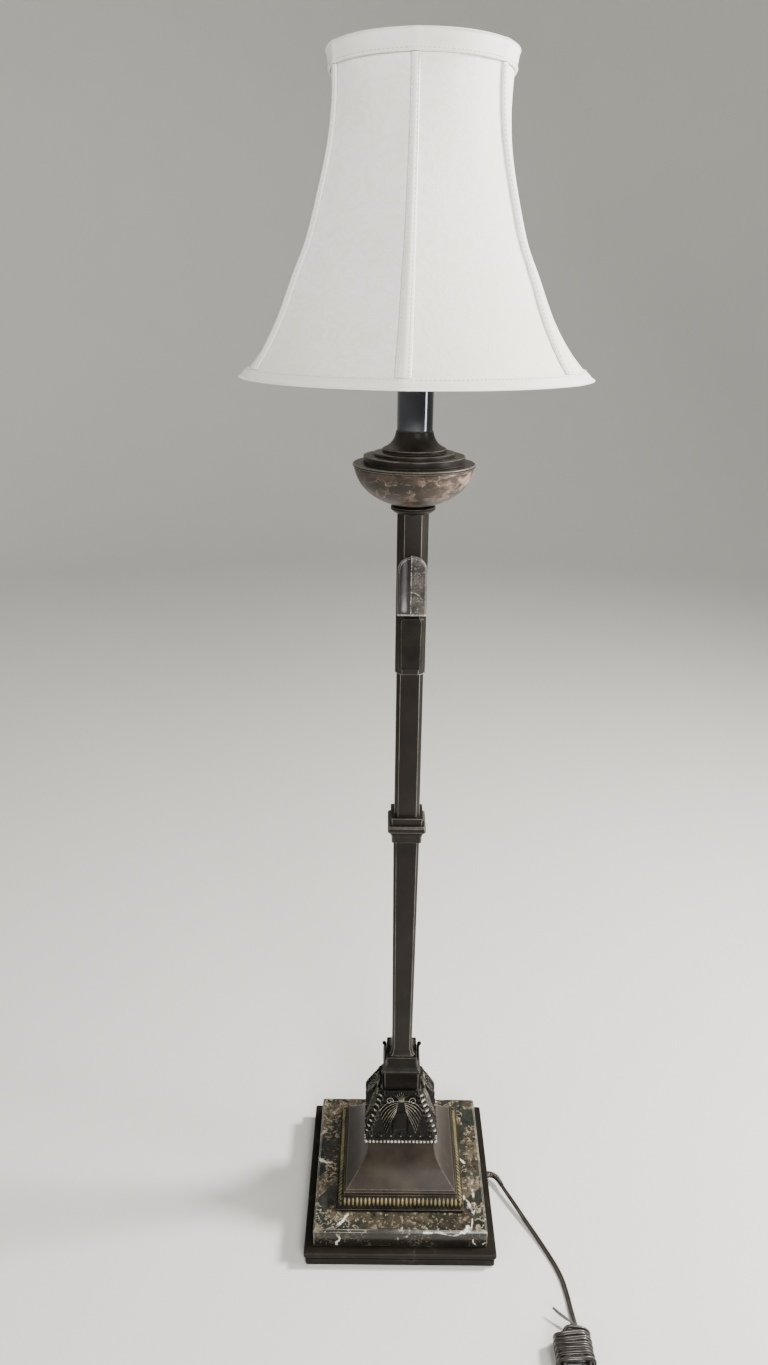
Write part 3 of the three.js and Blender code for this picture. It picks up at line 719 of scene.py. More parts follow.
@dataclass(frozen=True)
class TwinFlex(Finish):
    """Dark brown flat flex: a glossy skin with dusty scuffs here and there."""

    colour: Colour = (0.014, 0.010, 0.007)
    dust: Colour = (0.050, 0.042, 0.032)

    def paint(self, shader: Shader) -> None:
        """A satin skin with small scuffs that run along the lead."""
        along = shader.place(Space.UV, (40.0, 1.0, 1.0))
        scuff = shader.noise(along, 160.0, 4.0, 0.6)
        cloud = shader.noise(shader.place(), 120.0, 4.0, 0.6)
        shader.set(
            Base_Color=shader.mix((0.5 * scuff + 0.5 * cloud).between(0.45, 0.8), self.colour, self.dust),
            Roughness=0.34 + 0.3 * (cloud - 0.5),
            Coat_Weight=0.25,
        )
        shader.bump(scuff, 0.1, 0.0002)


@dataclass(frozen=True)
class Studio(Finish):
    """The pale floor's even paper."""

    colour: Colour = (0.70, 0.69, 0.655)

    def paint(self, shader: Shader) -> None:
        """A pale ground with a trace of tone."""
        tone = shader.noise(shader.place(), 6.0, 3.0)
        shader.set(
            Base_Color=shader.mix(tone, self.colour, tuple(0.96 * c for c in self.colour)),
            Roughness=0.8,
        )


BRONZE = CastMetal("antique_bronze", "bronze")
GILT = CastMetal("rubbed_gilt_bronze", "bronze", ground=(0.024, 0.019, 0.008), rubbed=(0.34, 0.285, 0.125))
# Near-white tops and outer faces on the beads: partly rubbed metal, partly painted highlights.
PALE_BEADS = CastMetal(
    "pale_beads", "bronze", ground=(0.10, 0.095, 0.08), rubbed=(0.75, 0.73, 0.65), rub=1.0, roughness=0.4
)
CARVED = CastMetal(
    "carved_bronze", "bronze", ground=(0.008, 0.0065, 0.0045), rubbed=(0.40, 0.38, 0.30), rub=1.0
)
COLUMN = WornPaint("satin_column", "dark_column")
TURNED = WornPaint("satin_turning", "dark_column", along=0.3)
PYRAMID = WornPaint(
    "satin_pyramid",
    "dark_column",
    ground=(0.011, 0.0085, 0.0062),
    warm=(0.036, 0.028, 0.020),
    along=1.0,
    rub=0.35,
    gloss=0.1,
)
MARBLE = PatchworkMarble("patchwork_marble", "marble")
PLINTH = DarkStone("dark_plinth", "plinth")
BOWL = BowlStone("mottled_bowl", "bowl_stone")
PLAQUE = PlaqueStone("veined_plaque", "bowl_stone")
GUNMETAL = PlainMetal("gunmetal", "gunmetal", (0.19, 0.18, 0.26), (0.10, 0.095, 0.145), 0.27, 500.0)
BRASS = PlainMetal("satin_brass", "brass", (0.62, 0.47, 0.22), (0.36, 0.25, 0.11), 0.3)
STEEL = PlainMetal("plated_steel", "steel", (0.58, 0.58, 0.56), (0.30, 0.30, 0.29), 0.3)
FIBRE = Moulded("fibre_liner", "liner", (0.20, 0.13, 0.08), (0.30, 0.21, 0.13), 0.85, 1800.0)
PHENOLIC = Moulded("phenolic", "phenolic")
FELT = Moulded("green_felt", "felt", (0.010, 0.016, 0.012), (0.03, 0.045, 0.033), 0.95, 2600.0, 0.6, 0.4)
PAPER_TIE = Moulded("paper_tie", "lead_plastic", (0.05, 0.042, 0.034), (0.16, 0.14, 0.115), 0.6, 900.0)
GLASS = FrostedGlass("frosted_glass", "bulb_glass")
CLOTH = Damask("cream_damask", "shade_cloth")
TRIM = Damask(
    "cream_braid",
    "shade_trim",
    ground=(0.84, 0.83, 0.79),
    figure=(0.78, 0.76, 0.68),
    threads=1300.0,
    figures=90.0,
    contrast=0.4,
    warmth=0.5,
)
THREAD = Moulded("cream_thread", "shade_trim", (0.62, 0.59, 0.49), (0.72, 0.69, 0.58), 0.8, 3000.0)
FLEX = TwinFlex("brown_flex", "lead_plastic")
FLOOR = Studio("studio_floor", "")


# ---------------------------------------------------------------------------------------------
# Mesh helpers
# ---------------------------------------------------------------------------------------------


def new_object(name: str, mesh: bpy.types.Mesh) -> bpy.types.Object:
    """Link a mesh into the scene as an object at the origin."""
    made = bpy.data.objects.new(name, mesh)
    bpy.context.scene.collection.objects.link(made)
    return made


def mesh_from(name: str, corners: Any, faces: Sequence[Sequence[int]]) -> bpy.types.Mesh:
    """A smooth-shaded mesh from corners and faces.

    Args:
        name: the mesh's name.
        corners: where its corners are.
        faces: each face's corner numbers.

    Returns:
        The mesh.
    """
    mesh = bpy.data.meshes.new(name)
    mesh.from_pydata([tuple(map(float, corner)) for corner in corners], [], [tuple(face) for face in faces])
    mesh.validate()
    mesh.polygons.foreach_set("use_smooth", [True] * len(mesh.polygons))
    return mesh


def set_wear(mesh: bpy.types.Mesh, values: Sequence[float]) -> None:
    """Record how worn each corner is, from 0 to 1."""
    mesh.attributes.new("wear", "FLOAT", "POINT").data.foreach_set("value", values)


def face_outwards(mesh: bpy.types.Mesh) -> None:
    """Turn every face of a closed mesh outwards."""
    shape = bmesh.new()
    shape.from_mesh(mesh)
    bmesh.ops.recalc_face_normals(shape, faces=shape.faces)
    shape.to_mesh(mesh)
    shape.free()


def full_turn(sides: int) -> list[float]:
    """Even angles right round, in radians."""
    return [2 * math.pi * k / sides for k in range(sides)]


def clamped(value: float) -> float:
    """A value kept between 0 and 1."""
    return min(1.0, max(0.0, value))


def eased(t: float) -> float:
    """A straight rise from 0 to 1 made to start and end softly."""
    return t * t * (3 - 2 * t)


def hump(offset: float, width: float) -> float:
    """A smooth hump, 1 at no offset and fading over a width."""
    return math.exp(-((offset / width) ** 2))


def squared_off(value: float, power: float) -> float:
    """A sine or cosine pushed out towards 1, which squares off a circle."""
    return math.copysign(abs(value) ** power, value)


def lengths_along(line: Any) -> np.ndarray:
    """How far along a line each of its points lies."""
    return np.concatenate([[0.0], np.cumsum(np.linalg.norm(np.diff(line, axis=0), axis=1))])


def band_faces(rings: int, sides: int, start: int = 0) -> list[Face]:
    """The faces between rings of corners.

    Args:
        rings: how many rings there are.
        sides: how many corners each ring has.
        start: the first ring's first corner.

    Returns:
        The faces, ring by ring.
    """
    faces = []
    for i in range(rings - 1):
        for k in range(sides):
            here, there = start + i * sides + k, start + i * sides + (k + 1) % sides
            faces.append((here, there, there + sides, here + sides))
    return faces


def tube_faces(rings: int, sides: int) -> list[Face]:
    """The faces of a tube: between its rings and over both its ends."""
    last = (rings - 1) * sides
    return [*band_faces(rings, sides), tuple(reversed(range(sides))), tuple(range(last, last + sides))]


def dressed(piece: bpy.types.Object, finish: Finish, body: Body, *nodes: str) -> bpy.types.Object:
    """Give a piece its finish, its body and the frame nodes it stands for.

    Args:
        piece: the object.
        finish: what it is made of.
        body: the body that it rides on.
        nodes: the frame nodes that it stands for.

    Returns:
        The same object.
    """
    piece.data.materials.clear()
    piece.data.materials.append(finish.material())
    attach(piece, body.value)
    if nodes:
        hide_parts(*nodes)
    LOG.info("%s: %d faces", piece.name, len(piece.data.polygons))
    return piece


def node_shape(node: str) -> bmesh.types.BMesh:
    """A frame node's shape with its corners merged."""
    shape = bmesh.new()
    shape.from_mesh(NODES[node].data)
    bmesh.ops.remove_doubles(shape, verts=shape.verts, dist=MERGE)
    return shape


def merged_copy(node: str) -> bmesh.types.BMesh:
    """A frame node's shape with its corners merged and its flat faces joined."""
    shape = node_shape(node)
    bmesh.ops.dissolve_limit(shape, angle_limit=math.radians(1.0), verts=shape.verts, edges=shape.edges)
    return shape


def soften(shape: bmesh.types.BMesh, radius: float, angle: float = 28.0) -> None:
    """Round every arris sharper than an angle and record it in the wear attribute.

    Args:
        shape: the solid, whose faces point outwards.
        radius: the arris's width.
        angle: arrises flatter than this many degrees are left.
    """
    wear = shape.verts.layers.float.get("wear") or shape.verts.layers.float.new("wear")
    sharp = [e for e in shape.edges if e.is_manifold and e.calc_face_angle(0.0) > math.radians(angle)]
    convex = [e for e in sharp if e.is_convex]
    made = bmesh.ops.bevel(
        shape, geom=convex, offset=radius, segments=2, profile=0.6, affect="EDGES", clamp_overlap=True
    )
    rounded = set(made["faces"])
    for vert in made["verts"]:
        if vert.is_valid and all(face in rounded for face in vert.link_faces):
            vert[wear] = 1.0


def finished_mesh(shape: bmesh.types.BMesh, name: str) -> bpy.types.Mesh:
    """Turn a worked shape into a smooth mesh that keeps its sharp inner corners.

    Args:
        shape: the worked shape, which is used up.
        name: the mesh's name.

    Returns:
        The mesh.
    """
    mesh = bpy.data.meshes.new(name)
    shape.to_mesh(mesh)
    shape.free()
    mesh.polygons.foreach_set("use_smooth", [True] * len(mesh.polygons))
    mesh.set_sharp_from_angle(angle=math.radians(42.0))
    return mesh


def outline_of(node: str) -> list[Pair]:
    """A turning's outline as (radius, height) pairs, read from a frame node's +Y half-plane.

    Args:
        node: a frame node turned about a vertical axis.

    Returns:
        The outline in order; it starts and ends on the axis, or is closed.
    """
    shape = node_shape(node)
    low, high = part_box(node)
    centre = (low + high) / 2
    near = 2e-5
    half = {v for v in shape.verts if abs(v.co.x - centre.x) < near and v.co.y - centre.y > -near}
    links = {v: [e.other_vert(v) for e in v.link_edges if e.other_vert(v) in half] for v in half}
    ends = [v for v in half if len(links[v]) == 1]
    start = min(ends or half, key=lambda v: v.co.z)
    path, seen = [start], {start}
    while True:
        following = [v for v in links[path[-1]] if v not in seen]
        if not following:
            break
        path.append(min(following, key=lambda v: (v.co - path[-1].co).length))
        seen.add(path[-1])
    outline = [(max(0.0, v.co.y - centre.y), v.co.z) for v in path]
    shape.free()
    return outline


def rounded_outline(outline: Sequence[Pair], closed: bool, corner: float) -> list[Pair]:
    """Curve the gentle bends of an outline and keep its sharp corners.

    Args:
        outline: (radius, height) pairs.
        closed: whether the last pair joins the first.
        corner: bends sharper than this many degrees stay corners.

    Returns:
        The outline with three points added on each curved stretch.
    """
    points = [np.array(pair) for pair in outline]
    count = len(points)

    def turn(i: int) -> float:
        """The bend at a point, in degrees."""
        if not closed and i in (0, count - 1):
            return 180.0
        before, here, after = points[i - 1], points[i], points[(i + 1) % count]
        first, second = here - before, after - here
        cosine = float(first @ second / (np.linalg.norm(first) * np.linalg.norm(second) + 1e-12))
        return math.degrees(math.acos(max(-1.0, min(1.0, cosine))))

    smooth = [turn(i) < corner for i in range(count)]
    result = []
    for i in range(count if closed else count - 1):
        j = (i + 1) % count
        here, there = points[i], points[j]
        span = np.linalg.norm(there - here)
        before = points[i - 1] if smooth[i] else here
        after = points[(j + 1) % count] if smooth[j] else there
        result.append(tuple(here))
        if not (smooth[i] or smooth[j]):
            continue
        leave = (there - before) / (np.linalg.norm(there - before) + 1e-12) * span
        arrive = (after - here) / (np.linalg.norm(after - here) + 1e-12) * span
        for t in (0.25, 0.5, 0.75):
            a, b = 2 * t**3 - 3 * t**2 + 1, t**3 - 2 * t**2 + t
            c, d = -2 * t**3 + 3 * t**2, t**3 - t**2
            result.append(tuple(a * here + b * leave + c * there + d * arrive))
    if not closed:
        result.append(tuple(points[-1]))
    return result


def spun(
    name: str, outline: Sequence[Pair], closed: bool, centre: Vector, sides: int, arris: float
) -> bpy.types.Mesh:
    """Turn an outline about a vertical axis.

    Args:
        name: the mesh's name.
        outline: (radius, height) pairs.
        closed: whether the outline closes on itself and not on the axis.
        centre: a point on the axis.
        sides: how many steps make the full turn.
        arris: the width of the rounding on its corners.

    Returns:
        The mesh, rounded on its corners.
    """
    shape = bmesh.new()
    rings = []
    for radius, height in outline:
        if radius < 1e-6:
            rings.append([shape.verts.new((centre.x, centre.y, height))])
            continue
        ring = []
        for angle in full_turn(sides):
            place = (centre.x + radius * math.cos(angle), centre.y + radius * math.sin(angle), height)
            ring.append(shape.verts.new(place))
        rings.append(ring)
    pairs = list(zip(rings, rings[1:] + rings[:1])) if closed else list(zip(rings, rings[1:]))
    for first, second in pairs:
        for k in range(sides):
            a, b = first[k % len(first)], first[(k + 1) % len(first)]
            c, d = second[(k + 1) % len(second)], second[k % len(second)]
            corners = list(dict.fromkeys([a, b, c, d]))
            if len(corners) > 2:
                shape.faces.new(corners)
    bmesh.ops.recalc_face_normals(shape, faces=shape.faces)
    soften(shape, arris)
    return finished_mesh(shape, name)


@dataclass(frozen=True)
class Turning:
    """A turned piece whose outline is read from its frame node."""

    node: str
    finish: Finish
    sides: int = 96
    corner: float = 24.0
    arris: float = 0.35 * MM
    body: Body = Body.LAMP

    def build(self) -> bpy.types.Object:
        """Turn the piece finely and dress it."""
        outline = outline_of(self.node)
        closed = outline[0][0] > 1e-5
        curve = rounded_outline(outline, closed, self.corner)
        low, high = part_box(self.node)
        mesh = spun(self.node + "_turning", curve, closed, (low + high) / 2, self.sides, self.arris)
        return dressed(new_object(self.node + "_turning", mesh), self.finish, self.body, self.node)


@dataclass(frozen=True)
class Squared:
    """A squared or cut piece that keeps its frame shape, with its arrises rounded."""

    node: str
    finish: Finish
    arris: float = 0.5 * MM
    body: Body = Body.LAMP
    angle: float = 28.0

    def build(self) -> bpy.types.Object:
        """Round the arrises and dress the piece."""
        shape = merged_copy(self.node)
        soften(shape, self.arris, self.angle)
        mesh = finished_mesh(shape, self.node + "_piece")
        return dressed(new_object(self.node + "_piece", mesh), self.finish, self.body, self.node)


def tube_mesh(name: str, route: Sequence[Point], section: Section, sideways: Profile) -> bpy.types.Mesh:
    """Sweep a section along a route, with a UV map in metres along and across it.

    Args:
        name: the mesh's name.
        route: the centreline's points.
        section: gives the section's points as (across, up) for a share of the route.
        sideways: gives the section's roll in radians for a share of the route.

    Returns:
        The closed tube.
    """
    line = np.array(route, float)
    ahead = np.gradient(line, axis=0)
    ahead /= np.linalg.norm(ahead, axis=1)[:, None]
    travelled = lengths_along(line)
    corners: list[np.ndarray] = []
    count = len(section(0.0))
    side = np.cross(ahead[0], (0.0, 0.0, 1.0))
    for i, (here, forward) in enumerate(zip(line, ahead)):
        share = travelled[i] / travelled[-1]
        side = side - forward * float(side @ forward)
        side /= np.linalg.norm(side) + 1e-12
        up = np.cross(side, forward)
        roll = sideways(share)
        first = math.cos(roll) * side + math.sin(roll) * up
        second = -math.sin(roll) * side + math.cos(roll) * up
        corners += [here + a * first + b * second for a, b in section(share)]
    mesh = mesh_from(name, corners, tube_faces(len(line), count))
    layer = mesh.uv_layers.new(name="UVMap")
    for polygon in mesh.polygons:
        for loop in polygon.loop_indices:
            index = mesh.loops[loop].vertex_index
            layer.data[loop].uv = (travelled[index // count], 0.001 * (index % count))
    face_outwards(mesh)
    mesh.set_sharp_from_angle(angle=math.radians(60.0))
    return mesh


def smooth_route(points: Sequence[Point], step: float) -> list[Point]:
    """A centripetal curve through the points, in even steps.

    Args:
        points: the route's given points.
        step: the distance between the curve's points.

    Returns:
        The curve's points.
    """
    laid = [np.array(p, float) for p in points]
    laid = [2 * laid[0] - laid[1], *laid, 2 * laid[-1] - laid[-2]]
    dense = []
    for p0, p1, p2, p3 in zip(laid, laid[1:], laid[2:], laid[3:]):
        knots = [0.0]
        for a, b in ((p0, p1), (p1, p2), (p2, p3)):
            knots.append(knots[-1] + max(np.linalg.norm(b - a), 1e-9) ** 0.5)
        t0, t1, t2, t3 = knots
        for t in np.linspace(t1, t2, 12, endpoint=False):
            a1 = (t1 - t) / (t1 - t0) * p0 + (t - t0) / (t1 - t0) * p1
            a2 = (t2 - t) / (t2 - t1) * p1 + (t - t1) / (t2 - t1) * p2
            a3 = (t3 - t) / (t3 - t2) * p2 + (t - t2) / (t3 - t2) * p3
            b1 = (t2 - t) / (t2 - t0) * a1 + (t - t0) / (t2 - t0) * a2
            b2 = (t3 - t) / (t3 - t1) * a2 + (t - t1) / (t3 - t1) * a3
            dense.append((t2 - t) / (t2 - t1) * b1 + (t - t1) / (t2 - t1) * b2)
    dense.append(laid[-2])
    return even_steps(dense, step)


def even_steps(dense: Sequence[Any], step: float) -> list[Point]:
    """The same line with points about a step apart.

    Args:
        dense: the line's points.
        step: the distance wanted between points.

    Returns:
        The new points, with the same ends.
    """
    line = np.array(dense, float)
    travelled = lengths_along(line)
    places = np.linspace(0.0, travelled[-1], max(2, round(travelled[-1] / step) + 1))
    return [tuple(np.interp(s, travelled, line[:, k]) for k in range(3)) for s in places]


# ---------------------------------------------------------------------------------------------
# Geometry Nodes
# ---------------------------------------------------------------------------------------------


class RowOfCopies:
    """A Geometry Nodes tree that sets copies of one small mesh along the edges of a guide."""

    def __init__(self, name: str, sizes: dict[str, float]) -> None:
        """Build the tree.

        Args:
            name: the tree's name.
            sizes: the named inputs, which are Pitch, Size and Jitter, and their defaults.
        """
        self.tree = bpy.data.node_groups.new(name, "GeometryNodeTree")
        self.sockets: dict[str, str] = {}
        face = self.tree.interface
        face.new_socket("Geometry", in_out="OUTPUT", socket_type="NodeSocketGeometry")
        for title, kind in (("Geometry", "Geometry"), ("Copy", "Object"), ("Finish", "Material")):
            made = face.new_socket(title, in_out="INPUT", socket_type=f"NodeSocket{kind}")
            self.sockets[title] = made.identifier
        for title, value in sizes.items():
            made = face.new_socket(title, in_out="INPUT", socket_type="NodeSocketFloat")
            made.default_value = value
            self.sockets[title] = made.identifier
        self._wire()

    def _add(self, kind: str, settings: dict[str, Any] | None = None, **links: Any) -> bpy.types.Node:
        """Add one node, set it and link its inputs by name."""
        made = self.tree.nodes.new(kind)
        for key, value in (settings or {}).items():
            setattr(made, key, value)
        for key, value in links.items():
            socket = next(s for s in made.inputs if s.name == key.replace("_", " ") and s.enabled)
            if isinstance(value, bpy.types.NodeSocket):
                self.tree.links.new(value, socket)
            else:
                socket.default_value = value
        return made

    def _math(self, operation: str, *terms: Any) -> bpy.types.NodeSocket:
        """Add one Math node and give its result."""
        made = self._add("ShaderNodeMath", {"operation": operation})
        for socket, term in zip(made.inputs, terms):
            if isinstance(term, bpy.types.NodeSocket):
                self.tree.links.new(term, socket)
            else:
                socket.default_value = term
        return made.outputs[0]

    def _wire(self) -> None:
        """Guide edges to curves, even points, aligned copies, realised and painted."""
        given = self._add("NodeGroupInput").outputs
        curve = self._add("GeometryNodeMeshToCurve", Mesh=given["Geometry"])
        spaced = self._add(
            "GeometryNodeCurveToPoints", {"mode": "LENGTH"}, Curve=curve.outputs[0], Length=given["Pitch"]
        )
        along = self._add(
            "FunctionNodeAlignRotationToVector", {"axis": "X"}, Vector=spaced.outputs["Tangent"]
        )
        upright = self._add(
            "FunctionNodeAlignRotationToVector",
            {"axis": "Z", "pivot_axis": "X"},
            Rotation=along.outputs[0],
            Vector=(0.0, 0.0, 1.0),
        )
        jitter = self._add("FunctionNodeRandomValue", {"data_type": "FLOAT"}, Seed=7)
        numbers = [s for s in jitter.inputs if s.type == "VALUE" and s.enabled]
        self.tree.links.new(self._math("SUBTRACT", 1.0, given["Jitter"]), numbers[0])
        self.tree.links.new(self._math("ADD", 1.0, given["Jitter"]), numbers[1])
        varied = next(s for s in jitter.outputs if s.type == "VALUE" and s.enabled)
        size = self._math("MULTIPLY", given["Size"], varied)
        source = self._add("GeometryNodeObjectInfo", Object=given["Copy"])
        copies = self._add(
            "GeometryNodeInstanceOnPoints",
            Points=spaced.outputs["Points"],
            Instance=source.outputs["Geometry"],
            Rotation=upright.outputs[0],
            Scale=size,
        )
        solid = self._add("GeometryNodeRealizeInstances", Geometry=copies.outputs[0])
        painted = self._add("GeometryNodeSetMaterial", Geometry=solid.outputs[0], Material=given["Finish"])
        self._add("NodeGroupOutput", Geometry=painted.outputs[0])

    def run(
        self, name: str, guide: bpy.types.Mesh, copy: bpy.types.Mesh, finish: Finish, **sizes: float
    ) -> bpy.types.Object:
        """Set copies along a guide and return them as a plain mesh object.

        Args:
            name: the piece's name.
            guide: a mesh of edges, which the copies follow.
            copy: the small mesh, whose X runs along the guide and whose Z is up.
            finish: the finish of every copy.
            sizes: values for the tree's named inputs.

        Returns:
            The copies as one object.
        """
        carrier = new_object(name + "_guide", guide)
        sample = new_object(name + "_copy", copy)
        modifier = carrier.modifiers.new("copies", "NODES")
        modifier.node_group = self.tree
        modifier[self.sockets["Copy"]] = sample
        modifier[self.sockets["Finish"]] = finish.material()
        for title, value in sizes.items():
            modifier[self.sockets[title]] = value
        bpy.context.view_layer.update()
        evaluated = carrier.evaluated_get(bpy.context.evaluated_depsgraph_get())
        mesh = bpy.data.meshes.new_from_object(evaluated)
        mesh.name = name
        for helper in (carrier, sample):
            bpy.data.objects.remove(helper)
        return new_object(name, mesh)


def edge_loops(name: str, loops: Iterable[Sequence[Point]]) -> bpy.types.Mesh:
    """A mesh of open edge runs, which guide rows of copies.

    Args:
        name: the mesh's name.
        loops: the runs of points.

    Returns:
        A mesh without faces.
    """
    corners, edges = [], []
    for run in loops:
        start = len(corners)
        corners += list(run)
        edges += [(start + i, start + i + 1) for i in range(len(run) - 1)]
    mesh = bpy.data.meshes.new(name)
    mesh.from_pydata(corners, edges, [])
    return mesh


def square_sides(half: float, height: float, inset: float) -> list[list[Point]]:
    """The four sides of a level square, each run with the outside on its right.

    Args:
        half: half the square's side.
        height: its height.
        inset: how far each run stops short of the corners.

    Returns:
        Four runs of two points.
    """
    reach = half - inset
    runs = []
    for k in range(4):
        turn = Matrix.Rotation(k * math.pi / 2, 3, "Z")
        ends = (Vector((-reach, -half, height)), Vector((reach, -half, height)))
        runs.append([tuple(turn @ end) for end in ends])
    return runs


def dome_mesh(name: str, size: Point, rings: int, sides: int, lean: float = 0.0) -> bpy.types.Mesh:
    """A small closed dome or bead, with its top and outer face marked as worn, which stands for rubbing and
    for a painted highlight from above.

    Args:
        name: the mesh's name.
        size: its half-widths along, across and up.
        rings: rows of faces from pole to pole.
        sides: faces round it.
        lean: how far its top leans outwards, as a share of its height.

    Returns:
        The mesh with its wear attribute.
    """
    corners = [(0.0, lean * -size[2], -size[2])]
    worn = [0.0]
    for i in range(1, rings):
        tilt = math.pi * i / rings
        ring, height = math.sin(tilt), -math.cos(tilt)
        for angle in full_turn(sides):
            across = size[1] * ring * math.sin(angle) + lean * height * size[2]
            corners.append((size[0] * ring * math.cos(angle), across, size[2] * height))
            # Wear rises towards the top and the outer face: partly rubbing, partly a painted highlight as if
            # lit from above.
            worn.append(max(0.0, 0.55 * height - 0.75 * ring * math.sin(angle)) ** 0.8)
    corners.append((0.0, lean * size[2], size[2]))
    worn.append(0.7)
    faces: list[Face] = [(0, 1 + (k + 1) % sides, 1 + k) for k in range(sides)]
    faces += band_faces(rings - 1, sides, 1)
    last = len(corners) - 1
    faces += [(last, last - sides + k, last - sides + (k + 1) % sides) for k in range(sides)]
    mesh = mesh_from(name, corners, faces)
    set_wear(mesh, worn)
    return mesh


# ---------------------------------------------------------------------------------------------
# The lead
# ---------------------------------------------------------------------------------------------


@dataclass
class Lead:
    """Brown twin flex: out of the plinth's side, across the floor and folded into a tied hank.

    Lengths are in millimetres, in the frame's axes.
    """

    lobe: float = 1.05
    apart: float = 0.85
    exit: Point = (90.6, 9.0, 7.0)
    length: float = 1800.0
    relief: float = 20.0
    fold_x: float = 146.0
    far_fold: float = -168.5
    near_fold: float = -231.9
    inner: float = 10.4
    outer: float = 12.7
    first_layer: float = 4.3
    layer: float = 3.75
    wraps: int = 6
    first_wrap: float = -157.5
    wrap_pitch: float = 4.2
    wrap_half: float = 15.1
    wrap_middle: float = 11.2
    wrap_rise: float = 8.7
    plug_at: Point = (109.5, -215.5, 6.8)
    route: list[Point] = field(
        default_factory=lambda: [
            (90.6, 9.0, 7.0), (94.6, 8.9, 7.0), (99.6, 5.6, 6.8), (105.6, -6.6, 6.0), (114.3, -23.6, 4.8),
            (122.8, -40.3, 3.2), (131.0, -56.1, 1.9), (138.8, -72.6, 1.3), (145.2, -87.8, 1.2),
            (149.1, -101.5, 1.2), (151.0, -115.9, 1.2), (151.9, -127.9, 1.3), (153.0, -137.7, 1.6),
            (154.2, -147.0, 2.4), (156.2, -160.0, 3.6),
        ]
    )
    tail: list[Point] = field(
        default_factory=lambda: [
            (136.0, -248.0, 3.4), (128.0, -247.9, 2.2), (120.0, -245.6, 2.2), (113.6, -240.6, 3.4),
            (110.2, -234.8, 5.6), (109.5, -229.4, 6.8),
        ]
    )

    def hank(self) -> list[Point]:
        """The folded stretch: turns laid on one another, then wrapped round their far end."""
        turns = [(self.inner, 0), (self.inner, 1), (self.inner, 2), (self.outer, 2), (self.outer, 1)]
        points: list[Point] = []
        arriving = (self.inner, 0.0)
        for i, (column, level) in enumerate(turns):
            points += self._run(1.0, arriving, (column, level), self.far_fold, self.near_fold)
            points += self._fold(column, level, self.near_fold, 0.0, -180.0)
            if i == len(turns) - 1:
                break
            leaving = (column, level + 1.0) if i < 3 else (column, float(level))
            if i == 2:
                leaving = (self.inner, 3.0)
            points += self._run(-1.0, (column, level), leaving, self.near_fold, self.far_fold)
            points += self._fold(leaving[0], leaving[1], self.far_fold, 180.0, 0.0)
            arriving = leaving
        points += self._run(-1.0, (self.outer, 1), (self.outer, 1.6), self.near_fold, self.first_wrap - 6.0)
        points += self._wraps()
        start = (self.wrap_half, 1.2)
        last_wrap = self.first_wrap - self.wraps * self.wrap_pitch
        points += self._run(1.0, start, (self.wrap_half, 0.4), last_wrap - 8.0, self.near_fold)
        points += self._fold(self.wrap_half, 0.4, self.near_fold, 0.0, -90.0)
        return points

    def _wraps(self) -> list[Point]:
        """The turns that bind the hank, each a squarish ring that runs over it from left to right."""
        made = []
        steps = 18
        for k in range(4, self.wraps * steps + 10):
            angle = math.pi - 2 * math.pi * k / steps
            across, up = math.cos(angle), math.sin(angle)
            loose = 0.7 * math.sin(0.61 * k) + 0.5 * math.sin(1.37 * k + 1.0)
            x = self.fold_x + (self.wrap_half + 0.4 * loose) * squared_off(across, SQUARISH)
            z = self.wrap_middle + (self.wrap_rise + 0.3 * loose) * squared_off(up, SQUARISH)
            lean = 1.5 * across * max(0.0, up) + 0.5 * loose * max(0.0, up)
            made.append((x, self.first_wrap - self.wrap_pitch * k / steps + lean, z))
        return made

    def _height(self, level: float) -> float:
        """A layer's height."""
        return self.first_layer + self.layer * level

    def _run(self, side: float, start: Pair, end: Pair, y0: float, y1: float) -> list[Point]:
        """A straight run that slides from one column and layer to another.

        Args:
            side: 1 for the right side of the hank and -1 for the left.
            start: the column and layer that it leaves.
            end: the column and layer that it reaches.
            y0: where it starts.
            y1: where it ends.

        Returns:
            The run's points.
        """
        made = []
        for k in range(1, 6):
            t = k / 6
            ease = eased(t)
            column = start[0] + (end[0] - start[0]) * ease
            height = self._height(start[1]) + (self._height(end[1]) - self._height(start[1])) * ease
            made.append((self.fold_x + side * column, y0 + (y1 - y0) * t, height))
        return made

    def _fold(self, radius: float, level: float, y: float, start: float, end: float) -> list[Point]:
        """A round fold from one heading to the other, in degrees about the fold's centre.

        Args:
            radius: the fold's radius.
            level: its layer.
            y: where its centre is.
            start: its first heading.
            end: its last heading.

        Returns:
            The fold's points.
        """
        made = []
        for angle in np.linspace(math.radians(start), math.radians(end), 11 if abs(end - start) > 100 else 6):
            place = (
                self.fold_x + radius * math.cos(angle), y + radius * math.sin(angle), self._height(level)
            )
            made.append(place)
        return made

    def centreline(self) -> list[Point]:
        """The whole lead's line from the plinth to the plug, in metres."""
        laid = [*self.route, *self.hank(), *self.tail]
        return [tuple(MM * c for c in p) for p in smooth_route(laid, 2.2)]

    def section(self, share: float) -> list[Pair]:
        """The flex's two round ribs with a groove between them, splayed a little where it lies flat."""
        points = []
        apart = self.apart + 0.45 * math.sin(math.pi * clamped((share - 0.012) / 0.085)) ** 0.7
        for centre, start in ((apart, -150.0), (-apart, 30.0)):
            for k in range(8):
                angle = math.radians(start + 300.0 * k / 7)
                points.append((MM * (centre + self.lobe * math.cos(angle)), MM * self.lobe * math.sin(angle)))
        return points

    def roll(self, share: float) -> float:
        """Flat on the floor, on edge in the hank's turns and flat again in the wraps round them."""

        def past(start: float) -> float:
            """Rise from 0 to 1 over a short stretch."""
            return eased(clamped((share - start) / 0.02))

